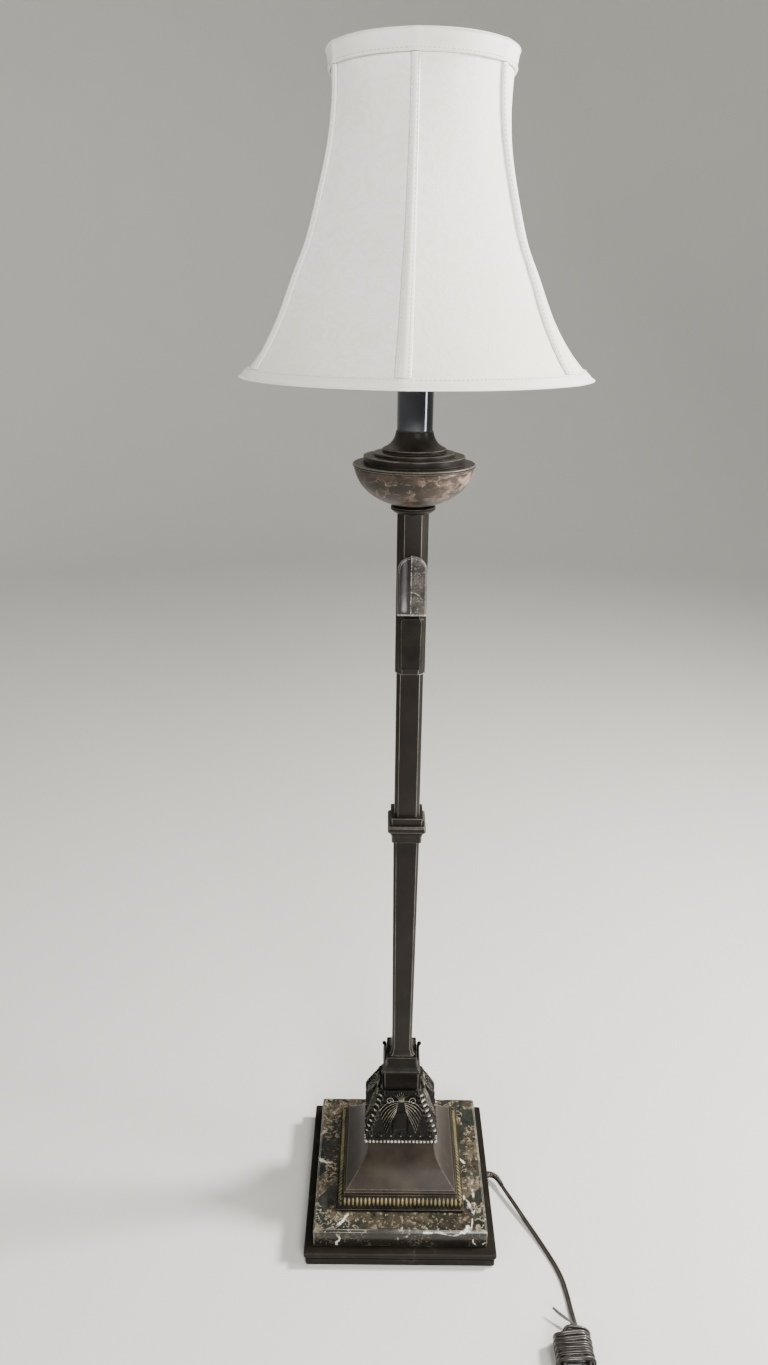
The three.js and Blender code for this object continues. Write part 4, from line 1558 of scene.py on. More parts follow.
        return 0.5 * math.pi * (past(0.085) - past(0.655) + past(0.935))

    def relief_sleeve(self, line: Sequence[Point]) -> bpy.types.Object:
        """The ribbed, tapering sleeve round the lead's first stretch."""
        travelled = lengths_along(line)
        stretch = [line[i] for i in range(len(line)) if travelled[i] <= MM * self.relief]
        fine = even_steps(stretch, 0.25 * MM)

        def ribbed(share: float) -> list[Pair]:
            """A ring that narrows, with a groove every two millimetres."""
            groove = 0.35 if 0.1 < share < 0.97 and math.sin(2 * math.pi * 9 * share) > 0.35 else 0.0
            radius = MM * (3.3 - 1.0 * share - groove)
            return [(radius * math.cos(angle), radius * math.sin(angle)) for angle in full_turn(20)]

        mesh = tube_mesh("strain_relief", fine, ribbed, lambda share: 0.0)
        return dressed(new_object("relief_sleeve", mesh), FLEX, Body.LAMP, "strain_relief")

    def plug(self) -> bpy.types.Object:
        """A flat moulded two-blade plug with grip ribs."""
        x, y, z = self.plug_at
        shape = bmesh.new()
        rows = [
            (-13.5, 4.2, 3.4), (-12.6, 5.2, 4.4), (-9.0, 6.4, 5.2), (-8.2, 5.9, 4.7), (-7.4, 6.9, 5.4),
            (-6.6, 6.3, 4.9),
            (-5.8, 7.4, 5.6), (-5.0, 6.8, 5.1), (-4.2, 8.0, 5.8), (1.0, 9.4, 6.2), (9.0, 9.8, 6.4),
            (12.2, 9.6, 6.3),
            (13.3, 8.8, 5.6),
        ]
        rings = []
        sides = 32
        for along, half, tall in rows:
            ring = []
            for angle in full_turn(sides):
                out = half * squared_off(math.cos(angle), 0.55)
                up = tall * squared_off(math.sin(angle), 0.55)
                ring.append(shape.verts.new((MM * (x + out), MM * (y + along), MM * (z + up))))
            rings.append(ring)
        for first, second in zip(rings, rings[1:]):
            for k in range(sides):
                j = (k + 1) % sides
                shape.faces.new((first[k], first[j], second[j], second[k]))
        shape.faces.new(rings[0])
        shape.faces.new(list(reversed(rings[-1])))
        bmesh.ops.recalc_face_normals(shape, faces=shape.faces)
        body = new_object("plug_body", finished_mesh(shape, "plug_body"))
        return dressed(body, FLEX, Body.LAMP, "plug")

    def blades(self) -> bpy.types.Object:
        """The plug's two flat blades, each with its hole."""
        x, y, z = self.plug_at
        shape = bmesh.new()
        for side in (-1, 1):
            made = bmesh.ops.create_cube(shape, size=1.0)
            for vert in made["verts"]:
                vert.co = Vector(
                    (
                        MM * (x + side * 6.35 + 0.75 * 2 * vert.co.x),
                        MM * (y + 13.0 + 8.0 + 16.0 * vert.co.y),
                        MM * (z + 6.3 * vert.co.z),
                    )
                )
        soften(shape, 0.3 * MM)
        piece = new_object("plug_blades", finished_mesh(shape, "plug_blades"))
        return dressed(piece, BRASS, Body.LAMP)

    def tie(self) -> list[bpy.types.Object]:
        """The twisted tie round the middle of the hank and its two free ends."""
        middle = (self.far_fold + self.near_fold) / 2
        half, low, high = self.wrap_half + 1.9, 1.9, self._height(3) + 2.6
        loop = [
            (self.fold_x - half, low + 2), (self.fold_x - half + 2, low), (self.fold_x + half - 2, low),
            (self.fold_x + half, low + 2), (self.fold_x + half, high - 4), (self.fold_x + half - 4, high),
            (self.fold_x, high + 0.5), (self.fold_x - half + 4, high), (self.fold_x - half, high - 4),
            (self.fold_x - half, low + 2),
        ]
        band = smooth_route([(x, middle, z) for x, z in loop], 1.5)
        pieces = [self._strip("tie_band", band)]
        ends = {
            "tie_end_left": [
                (161.6, -163.0, 9.0), (158.0, -154.5, 8.6), (153.0, -148.5, 8.2), (146.5, -143.5, 8.4),
                (140.0, -138.5, 9.0), (134.5, -133.5, 9.8),
            ],
            "tie_end_near": [
                (self.fold_x - 3, middle, high + 0.8), (self.fold_x - 6, middle - 8, high + 1.6),
                (self.fold_x - 5, middle - 17, high - 0.5), (self.fold_x - 2, middle - 25, high - 1.6),
            ],
        }
        for name, points in ends.items():
            pieces.append(self._strip(name, smooth_route(points, 1.5)))
        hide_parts("hank_tie")
        return pieces

    def _strip(self, name: str, route: Sequence[Point]) -> bpy.types.Object:
        """A twisted strip of the tie.

        Args:
            name: the piece's name.
            route: its centreline.

        Returns:
            The strip.
        """
        line = [tuple(MM * c for c in p) for p in route]
        flat = []
        for centre, start in ((0.62, -125.0), (-0.62, 55.0)):
            for k in range(6):
                angle = math.radians(start + 50.0 * k)
                flat.append((MM * (centre + 0.7 * math.cos(angle)), MM * 0.55 * math.sin(angle)))
        turns = 0.0 if name == "tie_band" else 0.75
        mesh = tube_mesh(name, line, lambda share: flat, lambda share: 2 * math.pi * turns * share)
        return dressed(new_object(name, mesh), PAPER_TIE, Body.LAMP)

    def build(self) -> None:
        line = self.centreline()
        mesh = tube_mesh("lead_flex", line, self.section, self.roll)
        flex = dressed(new_object("lead_flex", mesh), FLEX, Body.LAMP, "lead", "lead_hank", "lead_tail")
        LOG.info("lead: %.3f m along its line", lengths_along(line)[-1])
        others = [self.relief_sleeve(line), self.plug(), self.blades(), *self.tie()]


# ---------------------------------------------------------------------------------------------
# Base and foot
# ---------------------------------------------------------------------------------------------


@dataclass
class Base:
    """Felt, moulded plinth, marble slab and the flex's bushing."""

    def build(self) -> None:
        """Make the three layers and the bushing."""
        Squared("felt_pad", FELT, 0.3 * MM).build()
        Squared("plinth", PLINTH, 0.55 * MM).build()
        Squared("marble_slab", MARBLE, 0.6 * MM).build()
        Squared("lead_bushing", PHENOLIC, 0.3 * MM).build()


Stroke = tuple[list[Pair], float, float]


@dataclass
class Foot:
    """The cast foot: gadroon border, pyramid, bead frame, leaf block and column socket.

    Lengths are in millimetres; heights are over the slab.
    """

    block_levels: list[Pair] = field(
        default_factory=lambda: [
            (61.5, 32.0), (66.5, 32.3), (70.0, 32.5), (75.0, 30.7), (80.0, 28.6), (86.0, 25.8), (92.0, 22.9),
            (98.0, 20.3), (106.0, 17.8),
        ]
    )
    columns: int = 110
    rows: int = 92
    relief: float = 2.4

    def strokes(self) -> list[Stroke]:
        """The leaf relief on one side.

        Returns:
            Each stroke's line over (across, along the profile), its half-width and its height.
        """
        made: list[Stroke] = []
        for k in range(-3, 4):
            reach = 2.5 + 0.3 * abs(k)
            for petal in range(5):
                angle = math.radians(72 * petal + 90)
                tip = (9.2 * k + reach * math.cos(angle), 5.6 + reach * math.sin(angle))
                made.append(([(9.2 * k, 5.6), tip], 1.1, 0.85))
            made.append(([(9.2 * k, 5.6), (9.2 * k + 0.1, 5.6)], 1.9, 1.0))
        for side in (-1, 1):
            made += self._acanthus(side)
            made += self._corner_leaf(side)
        for k in range(-3, 4):
            root, tip = (0.5 * k, 37.5), (2.1 * k, 46.5 - 0.8 * abs(k))
            made.append((self._curl(root, (1.0 * k, 42.0), tip), 0.75, 0.95))
        made.append((self._arch(7.4, 8.0, 20.0), 0.8, 0.85))
        return made

    def _acanthus(self, side: int) -> list[Stroke]:
        """Lobes that sweep from the crown of the arch out and down, with a volute over them."""
        made: list[Stroke] = []
        for k in range(7):
            start = (side * (2.5 + 0.35 * k), 38.0 - 1.5 * k)
            middle = (side * (14.5 - 0.6 * k), 39.0 - 3.3 * k)
            end = (side * (20.5 - 1.1 * k), 29.0 - 3.4 * k)
            made.append((self._curl(start, middle, end), 0.85, 0.95))
        volute = []
        for k in range(15):
            angle = math.radians(200 - 36 * k)
            reach = 3.6 - 0.21 * k
            volute.append((side * (11.0 + reach * math.cos(angle)), 38.5 + reach * math.sin(angle)))
        made.append((volute, 0.75, 1.0))
        return made

    def _corner_leaf(self, side: int) -> list[Stroke]:
        """The leaf wrapped on the block's corner, with a row of curled lobes down its edge."""
        made: list[Stroke] = []
        for k in range(9):
            along = 9.0 + 4.6 * k
            rim = 32.6 - 0.37 * (along - 9.0)
            curl = []
            for step in range(9):
                angle = math.radians(60 + 33 * step)
                reach = 2.5 - 0.15 * step
                curl.append((side * (rim - 4.6 - reach * math.cos(angle)), along + reach * math.sin(angle)))
            made.append((curl, 0.8, 0.9))
            made.append(
                (self._curl((side * rim, along + 1.0), (side * (rim - 2.5), along + 2.6), curl[0]), 1.0, 0.8)
            )
        return made

    @staticmethod
    def _curl(start: Pair, middle: Pair, end: Pair) -> list[Pair]:
        """A curved stroke through three control points."""
        return [
            tuple((1 - t) ** 2 * a + 2 * t * (1 - t) * b + t * t * c for a, b, c in zip(start, middle, end))
            for t in np.linspace(0.0, 1.0, 7)
        ]

    @staticmethod
    def _arch(half: float, foot: float, spring: float) -> list[Pair]:
        """The raised line round the arch's opening.

        Args:
            half: half the arch's width.
            foot: where it starts.
            spring: where its curve starts.

        Returns:
            The line's points.
        """
        top = [(half * math.cos(a), spring + half * math.sin(a)) for a in np.linspace(0, math.pi, 12)]
        return [(half, foot), *top, (-half, foot)]

    def _height_field(self, across: np.ndarray, height: np.ndarray) -> np.ndarray:
        """The relief, from 0 to 1, at places on one side of the block.

        Args:
            across: places across the side.
            height: places along its profile.

        Returns:
            The relief at each place.
        """
        field_height = np.zeros_like(across)
        for line, half, top in self.strokes():
            nearest = np.full_like(across, 1e9)
            widths = np.ones_like(across)
            for i, (a, b) in enumerate(zip(line, line[1:])):
                step = np.array(b) - np.array(a)
                reached = (across - a[0]) * step[0] + (height - a[1]) * step[1]
                t = np.clip(reached / (step @ step + 1e-9), 0, 1)
                away = np.hypot(across - a[0] - t * step[0], height - a[1] - t * step[1])
                closer = away < nearest
                nearest = np.where(closer, away, nearest)
                widths = np.where(closer, 1.0 - 0.35 * (i + t) / max(1, len(line) - 1), widths)
            bulge = np.sqrt(np.clip(1 - (nearest / (half * widths)) ** 2, 0, 1))
            field_height = np.maximum(field_height, top * bulge)
        sides = np.clip((6.6 - np.abs(across)) / 1.0, 0, 1) * np.clip((height - 8.5) / 1.0, 0, 1)
        crown = np.clip((6.6 - np.hypot(across, np.maximum(height - 20.0, 0))) / 1.0, 0, 1)
        opening = sides * crown
        return np.where(opening > 0.02, field_height * (1 - opening) - 0.6 * opening, field_height)

    def leaf_block(self) -> bpy.types.Object:
        """The domed block with leaf relief on all four sides."""
        levels = np.array(self.block_levels)
        travelled = lengths_along(levels)
        share = np.arange(self.columns) / self.columns * 2 - 1
        rings, worn = [], []
        for i in range(self.rows + 1):
            along = travelled[-1] * i / self.rows
            height = float(np.interp(along, travelled, levels[:, 0]))
            half = float(np.interp(along, travelled, levels[:, 1]))
            raised = self._height_field(share * half, np.full_like(share, along))
            edge = np.clip((1 - np.abs(share)) * half / 1.6, 0, 1)
            ripple = 0.5 + 0.5 * math.sin(2 * math.pi * (along - 9.0) / 4.6)
            scallop = 0.9 * ripple * (1 - edge) * (8 < along < 46)
            fade = clamped((travelled[-1] - along) / 3.0)
            lift = self.relief * np.where(raised > 0, raised, 1.2 * raised) * edge**0.5 * fade
            reach = half + lift - 0.5 * (1 - edge) + scallop
            ring, wear_row = [], []
            for quarter in range(4):
                turn = quarter * math.pi / 2
                cosine, sine = math.cos(turn), math.sin(turn)
                x, y = share * (half + scallop - 0.5 * (1 - edge)), -reach
                rise = height + 0.35 * lift * (along > 27)
                ring += list(zip(x * cosine - y * sine, x * sine + y * cosine, rise))
                wear_row += list(np.clip((raised + 0.6 * scallop - 0.7) / 0.28, 0, 1))
            rings.append(ring)
            worn.append(wear_row)
        return self._block_object(rings, worn)

    def _block_object(self, rings: list[list[Point]], worn: list[list[float]]) -> bpy.types.Object:
        """Close the block's skin over its top and bottom.

        Args:
            rings: rings of corners from the bottom up.
            worn: how worn each corner is.

        Returns:
            The dressed block.
        """
        count = len(rings[0])
        corners = [(MM * x, MM * y, MM * (z + SLAB_TOP)) for ring in rings for x, y, z in ring]
        faces = band_faces(len(rings), count)
        top, bottom = len(corners), len(corners) + 1
        first, last = self.block_levels[0][0], self.block_levels[-1][0]
        corners += [(0.0, 0.0, MM * (last + SLAB_TOP)), (0.0, 0.0, MM * (first + SLAB_TOP))]
        start = (len(rings) - 1) * count
        for k in range(count):
            faces.append((start + k, start + (k + 1) % count, top))
            faces.append(((k + 1) % count, k, bottom))
        mesh = mesh_from("leaf_relief", corners, faces)
        set_wear(mesh, [value for row in worn for value in row] + [0.0, 0.0])
        mesh.set_sharp_from_angle(angle=math.radians(70.0))
        return dressed(new_object("leaf_relief", mesh), CARVED, Body.LAMP, "leaf_block")

    def gadroons(self, rows: RowOfCopies) -> None:
        """The row of gadroons on the border's slope, on all four sides."""
        copy = dome_mesh("gadroon", (1.7 * MM, 1.9 * MM, 4.6 * MM), 8, 10, 0.42)
        guide = edge_loops("border", square_sides(57.0 * MM, (SLAB_TOP + 7.9) * MM, 0.6 * MM))
        made = rows.run("gadroons", guide, copy, GILT, Pitch=3.86 * MM, Size=1.0, Jitter=0.04)
        dressed(made, GILT, Body.LAMP)

    def beads(self, rows: RowOfCopies) -> None:
        """The row of beads round the frame."""
        copy = dome_mesh("bead", (1.6 * MM, 1.6 * MM, 1.6 * MM), 8, 12)
        guide = edge_loops("frame", square_sides(33.0 * MM, (SLAB_TOP + 59.0) * MM, 0.4 * MM))
        made = rows.run("frame_beads", guide, copy, PALE_BEADS, Pitch=3.3 * MM, Size=1.0, Jitter=0.05)
        dressed(made, PALE_BEADS, Body.LAMP)

    def leaf_tips(self) -> None:
        """A small leaf that stands on each side of the column socket with its tip curled out."""
        corners: list[Point] = []
        faces: list[Face] = []
        worn: list[float] = []
        for quarter in (0, 2):
            turn = Matrix.Rotation(math.radians(90 * quarter), 3, "Z")
            start = len(corners)
            for i in range(15):
                t = i / 14
                half = 5.2 * math.sin(math.pi * min(1.0, 0.3 + 0.62 * t)) ** 0.7
                for j in range(11):
                    s = j / 5 - 1
                    curl = max(0.0, t - 0.72) / 0.28
                    out = 16.3 + 2.2 * curl**1.6 - 0.7 * s * s + 0.35 * math.cos(4 * math.pi * s)
                    rise = 129.0 + 21.0 * t - 2.6 * curl**2
                    for layer in (0.0, 1.1):
                        x, y, z = turn @ Vector((out - layer, half * s, rise))
                        corners.append((MM * x, MM * y, MM * (z + SLAB_TOP)))
                        worn.append(max(0.0, 0.9 * t + 0.4 * (1 - abs(s)) - 0.35) if layer == 0.0 else 0.0)
            faces += self._plate(start, 15, 11)
        mesh = mesh_from("socket_leaves", corners, faces)
        set_wear(mesh, worn)
        face_outwards(mesh)
        dressed(new_object("socket_leaves", mesh), BRONZE, Body.LAMP)

    @staticmethod
    def _plate(start: int, rows: int, columns: int) -> list[Face]:
        """The faces of a thin plate whose corners alternate between front and back.

        Args:
            start: the plate's first corner.
            rows: its rows of corners.
            columns: its columns of corners.

        Returns:
            The faces.
        """

        def at(i: int, j: int, layer: int) -> int:
            """A corner's number."""
            return start + 2 * (i * columns + j) + layer

        faces = []
        for i in range(rows - 1):
            for j in range(columns - 1):
                faces.append((at(i, j, 0), at(i, j + 1, 0), at(i + 1, j + 1, 0), at(i + 1, j, 0)))
                faces.append((at(i + 1, j, 1), at(i + 1, j + 1, 1), at(i, j + 1, 1), at(i, j, 1)))
            for j in (0, columns - 1):
                faces.append((at(i, j, 0), at(i + 1, j, 0), at(i + 1, j, 1), at(i, j, 1)))
        for i in (0, rows - 1):
            for j in range(columns - 1):
                faces.append((at(i, j, 0), at(i, j + 1, 0), at(i, j + 1, 1), at(i, j, 1)))
        return faces

    def build(self, rows: RowOfCopies) -> None:
        """Make the whole foot."""
        Squared("gadroon_border", BRONZE, 0.35 * MM).build()
        Squared("pyramid_foot", PYRAMID, 0.45 * MM, angle=14.0).build()
        Squared("bead_frame", BRONZE, 0.3 * MM).build()
        Squared("column_socket", BRONZE, 0.45 * MM, angle=20.0).build()
        self.leaf_block()
        self.gadroons(rows)
        self.beads(rows)
        self.leaf_tips()


# ---------------------------------------------------------------------------------------------
# Column and bowl
# ---------------------------------------------------------------------------------------------


@dataclass
class Column:
    """The tapering square column with its collar, sleeve, bracket and arched stone."""

    def build(self) -> None:
        """Make every piece of the column."""
        Squared("lower_column", COLUMN, 0.45 * MM).build()
        Squared("upper_column", COLUMN, 0.45 * MM).build()
        Squared("capital_sleeve", COLUMN, 0.45 * MM).build()
        Squared("collar_ridge", TURNED, 0.4 * MM, angle=12.0).build()
        Squared("collar_band", TURNED, 0.35 * MM, angle=12.0).build()
        Squared("plaque_bracket", BRONZE, 0.35 * MM).build()
        Squared("arched_plaque", PLAQUE, 0.25 * MM, angle=35.0).build()


@dataclass
class Bowl:
    """The turned stone bowl, its rim and steps, the flare and the neck."""

    def build(self) -> None:
        """Turn every piece."""
        Turning("bowl_collar", BRONZE).build()
        Turning("stone_bowl", BOWL, 128, 30.0).build()
        Turning("rim_ring", TURNED, 128).build()
        Turning("stepped_discs", TURNED, 128).build()
        Turning("flare", TURNED, 96, 30.0).build()
        Turning("neck_tube", GUNMETAL, 96).build()
        Turning("check_ring", BRASS, 96).build()


# ---------------------------------------------------------------------------------------------
# Socket, harp and bulb
# ---------------------------------------------------------------------------------------------


@dataclass
class Socket:
    """The lamp holder, its switch, the bulb and the rod that ties the lamp together."""

    knob_height: float = 782.0

    def threads(self, rows: RowOfCopies) -> None:
        """Thread crests round the rod's bare lower end."""
        guide = edge_loops("rod", [[(0.0, 0.0, 4.0 * MM), (0.0, 0.0, 35.0 * MM)]])
        copy = self._ring("crest", 5.0 * MM, 0.32 * MM)
        made = rows.run("rod_threads", guide, copy, STEEL, Pitch=1.0 * MM, Size=1.0, Jitter=0.0)
        dressed(made, STEEL, Body.LAMP)

    @staticmethod
    def _ring(name: str, radius: float, half: float) -> bpy.types.Mesh:
        """A thin ring whose axis is X.

        Args:
            name: the mesh's name.
            radius: the ring's radius.
            half: half its thickness.

        Returns:
            The ring.
        """
        corners, faces = [], []
        sides = 24
        for angle in full_turn(sides):
            for along, out in ((-half, 0.0), (0.0, half), (half, 0.0), (0.0, -half)):
                reach = radius + out
                corners.append((along, reach * math.cos(angle), reach * math.sin(angle)))
        for k in range(sides):
            j = (k + 1) % sides
            for m in range(4):
                n = (m + 1) % 4
                faces.append((4 * k + m, 4 * k + n, 4 * j + n, 4 * j + m))
        return mesh_from(name, corners, faces)

    def build(self, rows: RowOfCopies) -> None:
        """Make the holder, the bulb and the switch."""
        Turning("threaded_rod", STEEL).build()
        Turning("socket_cap", BRASS).build()
        Squared("lock_nut", STEEL, 0.4 * MM).build()
        for node, finish in (("socket_shell", BRASS), ("socket_liner", FIBRE)):
            Squared(node, finish, 0.15 * MM, angle=50.0).build()
        Turning("socket_interior", PHENOLIC).build()
        Turning("screw_shell", BRASS).build()
        Turning("bulb_base", STEEL, body=Body.BULB).build()
        Turning("bulb_glass", GLASS, 96, 40.0, body=Body.BULB).build()
        self._knob()
        self.threads(rows)

    def _knob(self) -> None:
        """The ribbed turn knob on the holder's front."""
        rows = [
            (14.9, 2.0),
            (20.0, 2.0),
            (20.3, 5.0),
            (21.4, 6.0),
            (29.6, 5.9),
            (31.4, 4.9),
            (32.0, 3.2),
            (32.0, 0.6),
        ]
        corners = []
        sides = 72
        for reach, radius in rows:
            for k, angle in enumerate(full_turn(sides)):
                rib = 0.93 if radius > 5.5 and k % 4 < 2 else 1.0
                x, z = rib * radius * math.cos(angle), rib * radius * math.sin(angle)
                corners.append((MM * x, -MM * reach, MM * (z + self.knob_height + SLAB_TOP)))
        mesh = mesh_from("switch_knob_ribbed", corners, tube_faces(len(rows), sides))
        face_outwards(mesh)
        mesh.set_sharp_from_angle(angle=math.radians(35.0))
        dressed(new_object("switch_knob_ribbed", mesh), PHENOLIC, Body.SWITCH, "switch_knob")


@dataclass
class Harp:
    """The saddle, the wire harp, its two ferrules and the finial."""

    top: float = 930.0
    leg: list[Pair] = field(
        default_factory=lambda: [
            (24.0, 766.8), (24.0, 778.0), (24.0, 790.0), (31.0, 803.0), (43.0, 822.0), (50.0, 848.0),
            (47.0, 876.0),
            (37.0, 902.0), (22.0, 921.0), (8.0, 929.4),
        ]
    )

    def build(self) -> None:
        """Make every piece."""
        Squared("harp_saddle", BRASS, 0.4 * MM).build()
        self._loop()
        Turning("ferrule_left", BRASS, 48, body=Body.FERRULE_LEFT).build()
        Turning("ferrule_right", BRASS, 48, body=Body.FERRULE_RIGHT).build()
        Turning("finial", BRONZE, 96, 30.0, body=Body.FINIAL).build()

    def _loop(self) -> None:
        """The wire loop with the round plate and threaded stud on its top."""
        route = [(x, 0.0, z) for x, z in self.leg] + [(0.0, 0.0, self.top - 0.2)]
        route += [(-x, 0.0, z) for x, z in reversed(self.leg)]
        line = [(MM * x, 0.0, MM * (z + SLAB_TOP)) for x, _, z in smooth_route(route, 3.0)]
        shape = bmesh.new()
        shape.from_mesh(tube_in_plane("harp_wire", line, 1.8 * MM))
        for radius, low, high in ((7.0, self.top - 1.0, self.top + 1.8), (3.0, self.top, 944.0)):
            made = bmesh.ops.create_cone(
                shape,
                cap_ends=True,
                segments=40,
                radius1=MM * radius,
                radius2=MM * radius,
                depth=MM * (high - low),
            )
            bmesh.ops.translate(
                shape, verts=made["verts"], vec=(0.0, 0.0, MM * ((low + high) / 2 + SLAB_TOP))
            )
        dressed(new_object("harp_loop", finished_mesh(shape, "harp_loop")), BRASS, Body.LAMP, "harp")


def tube_in_plane(name: str, line: Sequence[Point], radius: float) -> bpy.types.Mesh:
    """A round wire along a line that lies in the XZ plane.

    Args:
        name: the mesh's name.
        line: the wire's centreline.
        radius: the wire's radius.

    Returns:
        The closed wire.
    """
    points = np.array(line)
    ahead = np.gradient(points, axis=0)
    ahead /= np.linalg.norm(ahead, axis=1)[:, None]
    corners = []
    sides = 14
    for here, forward in zip(points, ahead):
        side = np.array((0.0, 1.0, 0.0))
        up = np.cross(forward, side)
        for angle in full_turn(sides):
            corners.append(here + radius * (math.cos(angle) * side + math.sin(angle) * up))
    faces: list[Face] = [(a, d, c, b) for a, b, c, d in band_faces(len(points), sides)]
    faces.append(tuple(range(sides)))
    faces.append(tuple((len(points) - 1) * sides + k for k in reversed(range(sides))))
    return mesh_from(name, corners, faces)


# ---------------------------------------------------------------------------------------------
# Shade
# ---------------------------------------------------------------------------------------------


@dataclass
class Shade:
    """The six-panelled bell: cloth, seam trims, hem, top band, wire cage and spider.

    Lengths are in millimetres; heights are over the slab and angles in degrees.
    """

    first_seam: float = -95.5
    panels: int = 6
    cloth: float = 1.0
    flatness: float = 0.55
    gap: float = 0.2
    braid: float = 2.6
    outline: list[Pair] = field(
        default_factory=lambda: [
            (125.2, 750.4), (116.6, 759.0), (105.9, 772.0), (94.5, 791.0), (83.5, 816.5), (74.3, 838.0),
            (66.7, 866.0),
            (61.1, 892.0), (58.8, 915.0), (59.2, 936.0), (61.0, 951.0),
        ]
    )

    @property
    def step(self) -> float:
        """One panel's part of the full turn."""
        return 360.0 / self.panels

    def seam(self, index: int) -> float:
        """A seam's azimuth."""
        return self.first_seam + self.step * index

    def _bell(self, share: float) -> Pair:
        """The bell's mid-panel radius and height at a share of its outline.

        Args:
            share: how far up the outline, from 0 to 1.

        Returns:
            The radius and the height.
        """
        points = [np.array(p) for p in self.outline]
        place = (len(points) - 1) * clamped(share)
        index = min(int(place), len(points) - 2)
        t = place - index
        p1, p2 = points[index], points[index + 1]
        p0 = points[max(0, index - 1)]
        p3 = points[min(len(points) - 1, index + 2)]
        v0, v1 = (p2 - p0) / 2, (p3 - p1) / 2
        r, h = (2 * p1 - 2 * p2 + v0 + v1) * t**3 + (-3 * p1 + 3 * p2 - 2 * v0 - v1) * t**2 + v0 * t + p1
        return float(r), float(h)

    def at(self, share: float, azimuth: float, outset: float) -> Point:
        """A point on the bell in metres, so far outside the cloth's face.

        Args:
            share: how far up the outline, from 0 to 1.
            azimuth: the direction, in degrees.
            outset: the distance outside the cloth.

        Returns:
            The point.
        """
        radius, height = self._bell(share)
        middle = (azimuth - self.first_seam) % self.step - self.step / 2
        corner = 1 / math.cos(math.radians(middle)) - 1
        flat = self.flatness * math.sin(math.pi * clamped(share))
        reach = radius * (1 + flat * corner) + outset
        angle = math.radians(azimuth)
        return (MM * reach * math.cos(angle), MM * reach * math.sin(angle), MM * (height + SLAB_TOP))

    def _wall(
        self,
        name: str,
        shares: np.ndarray,
        azimuths: np.ndarray,
        outer: Outset,
        inner: Outset,
        ring: bool = False,
    ) -> bpy.types.Mesh:
        """A thin wall between two outsets, with a UV map of its flat size in metres.

        Args:
            name: the mesh's name.
            shares: rows up the bell.
            azimuths: columns round it.
            outer: gives the outer outset.
            inner: gives the inner outset.
            ring: whether it goes right round.

        Returns:
            The closed wall.
        """
        rows, columns = len(shares), len(azimuths)
        corners = [self.at(s, a, f(s, a)) for f in (outer, inner) for s in shares for a in azimuths]
        half = rows * columns
        faces: list[Face] = []
        for i in range(rows - 1):
            for j in range(columns if ring else columns - 1):
                k = (j + 1) % columns
                a, b, c, d = i * columns + j, i * columns + k, (i + 1) * columns + k, (i + 1) * columns + j
                faces += [(a, b, c, d), (half + d, half + c, half + b, half + a)]
        for i in (0, rows - 1):
            for j in range(columns if ring else columns - 1):
                k = (j + 1) % columns
                a, b = i * columns + j, i * columns + k
                faces.append((b, a, half + a, half + b) if i == 0 else (a, b, half + b, half + a))
        if not ring:
            for j in (0, columns - 1):
                for i in range(rows - 1):
                    a, b = i * columns + j, (i + 1) * columns + j
                    faces.append((a, b, half + b, half + a) if j == 0 else (b, a, half + a, half + b))
        mesh = mesh_from(name, corners, faces)
        self._lay_flat(mesh, shares, azimuths, half)
        mesh.set_sharp_from_angle(angle=math.radians(60.0))
        return mesh

    def _lay_flat(self, mesh: bpy.types.Mesh, shares: np.ndarray, azimuths: np.ndarray, half: int) -> None:
        """Give a wall a UV map in metres, so that the weave has one size all over.

        Args:
            mesh: the wall.
            shares: its rows.
            azimuths: its columns.
            half: how many corners its outer side has.
        """
        columns = len(azimuths)
        profile = np.array([self._bell(s) for s in shares])
        rise = MM * lengths_along(profile)
        middle = (azimuths[0] + azimuths[-1]) / 2
        layer = mesh.uv_layers.new(name="UVMap")
        for loop in mesh.loops:
            index = loop.vertex_index % half
            i, j = divmod(index, columns)
            arc = MM * profile[i, 0] * math.radians(azimuths[j] - middle)
            layer.data[loop.index].uv = (arc + 0.37 * azimuths[0] / 360, rise[i])

    def _pucker(self, share: float, azimuth: float) -> float:
        """How far the stretched cloth stands off its true line, in millimetres.

        Args:
            share: how far up the outline, from 0 to 1.
            azimuth: the direction, in degrees.

        Returns:
            The distance.
        """
        across = ((azimuth - self.first_seam) % self.step) / self.step
        seam = hump(across if across < 0.5 else 1 - across, 0.09)
        ends = hump(share, 0.12) + hump(1 - share, 0.1)
        gathers = math.sin(97.0 * share + 3.0 * azimuth) * 0.16 * seam
        wave = gathers + 0.12 * math.sin(math.radians(23.0 * azimuth)) * ends
        sag = 0.35 * math.sin(math.pi * across) * math.sin(math.radians(5.0 * azimuth) + 9.0 * share)
        return (wave + 0.5 * sag) * min(1.0, 14.0 * across, 14.0 * (1 - across))

    def panel(self, index: int) -> None:
        """One panel of cloth, stretched between two ribs."""
        name = f"cloth_panel_{index + 1}"
        shares = np.linspace(0.0, 1.0, 73)
        azimuths = np.linspace(self.seam(index) + self.gap, self.seam(index) + (self.step - self.gap), 41)

        def inner(share: float, azimuth: float) -> float:
            """The cloth's inner face."""
            return self._pucker(share, azimuth) - self.cloth

        mesh = self._wall(name, shares, azimuths, self._pucker, inner)
        piece = dressed(new_object(name, mesh), CLOTH, Body.SHADE, f"shade_panel_{index + 1}")
        width, length, area = self._flat_size()

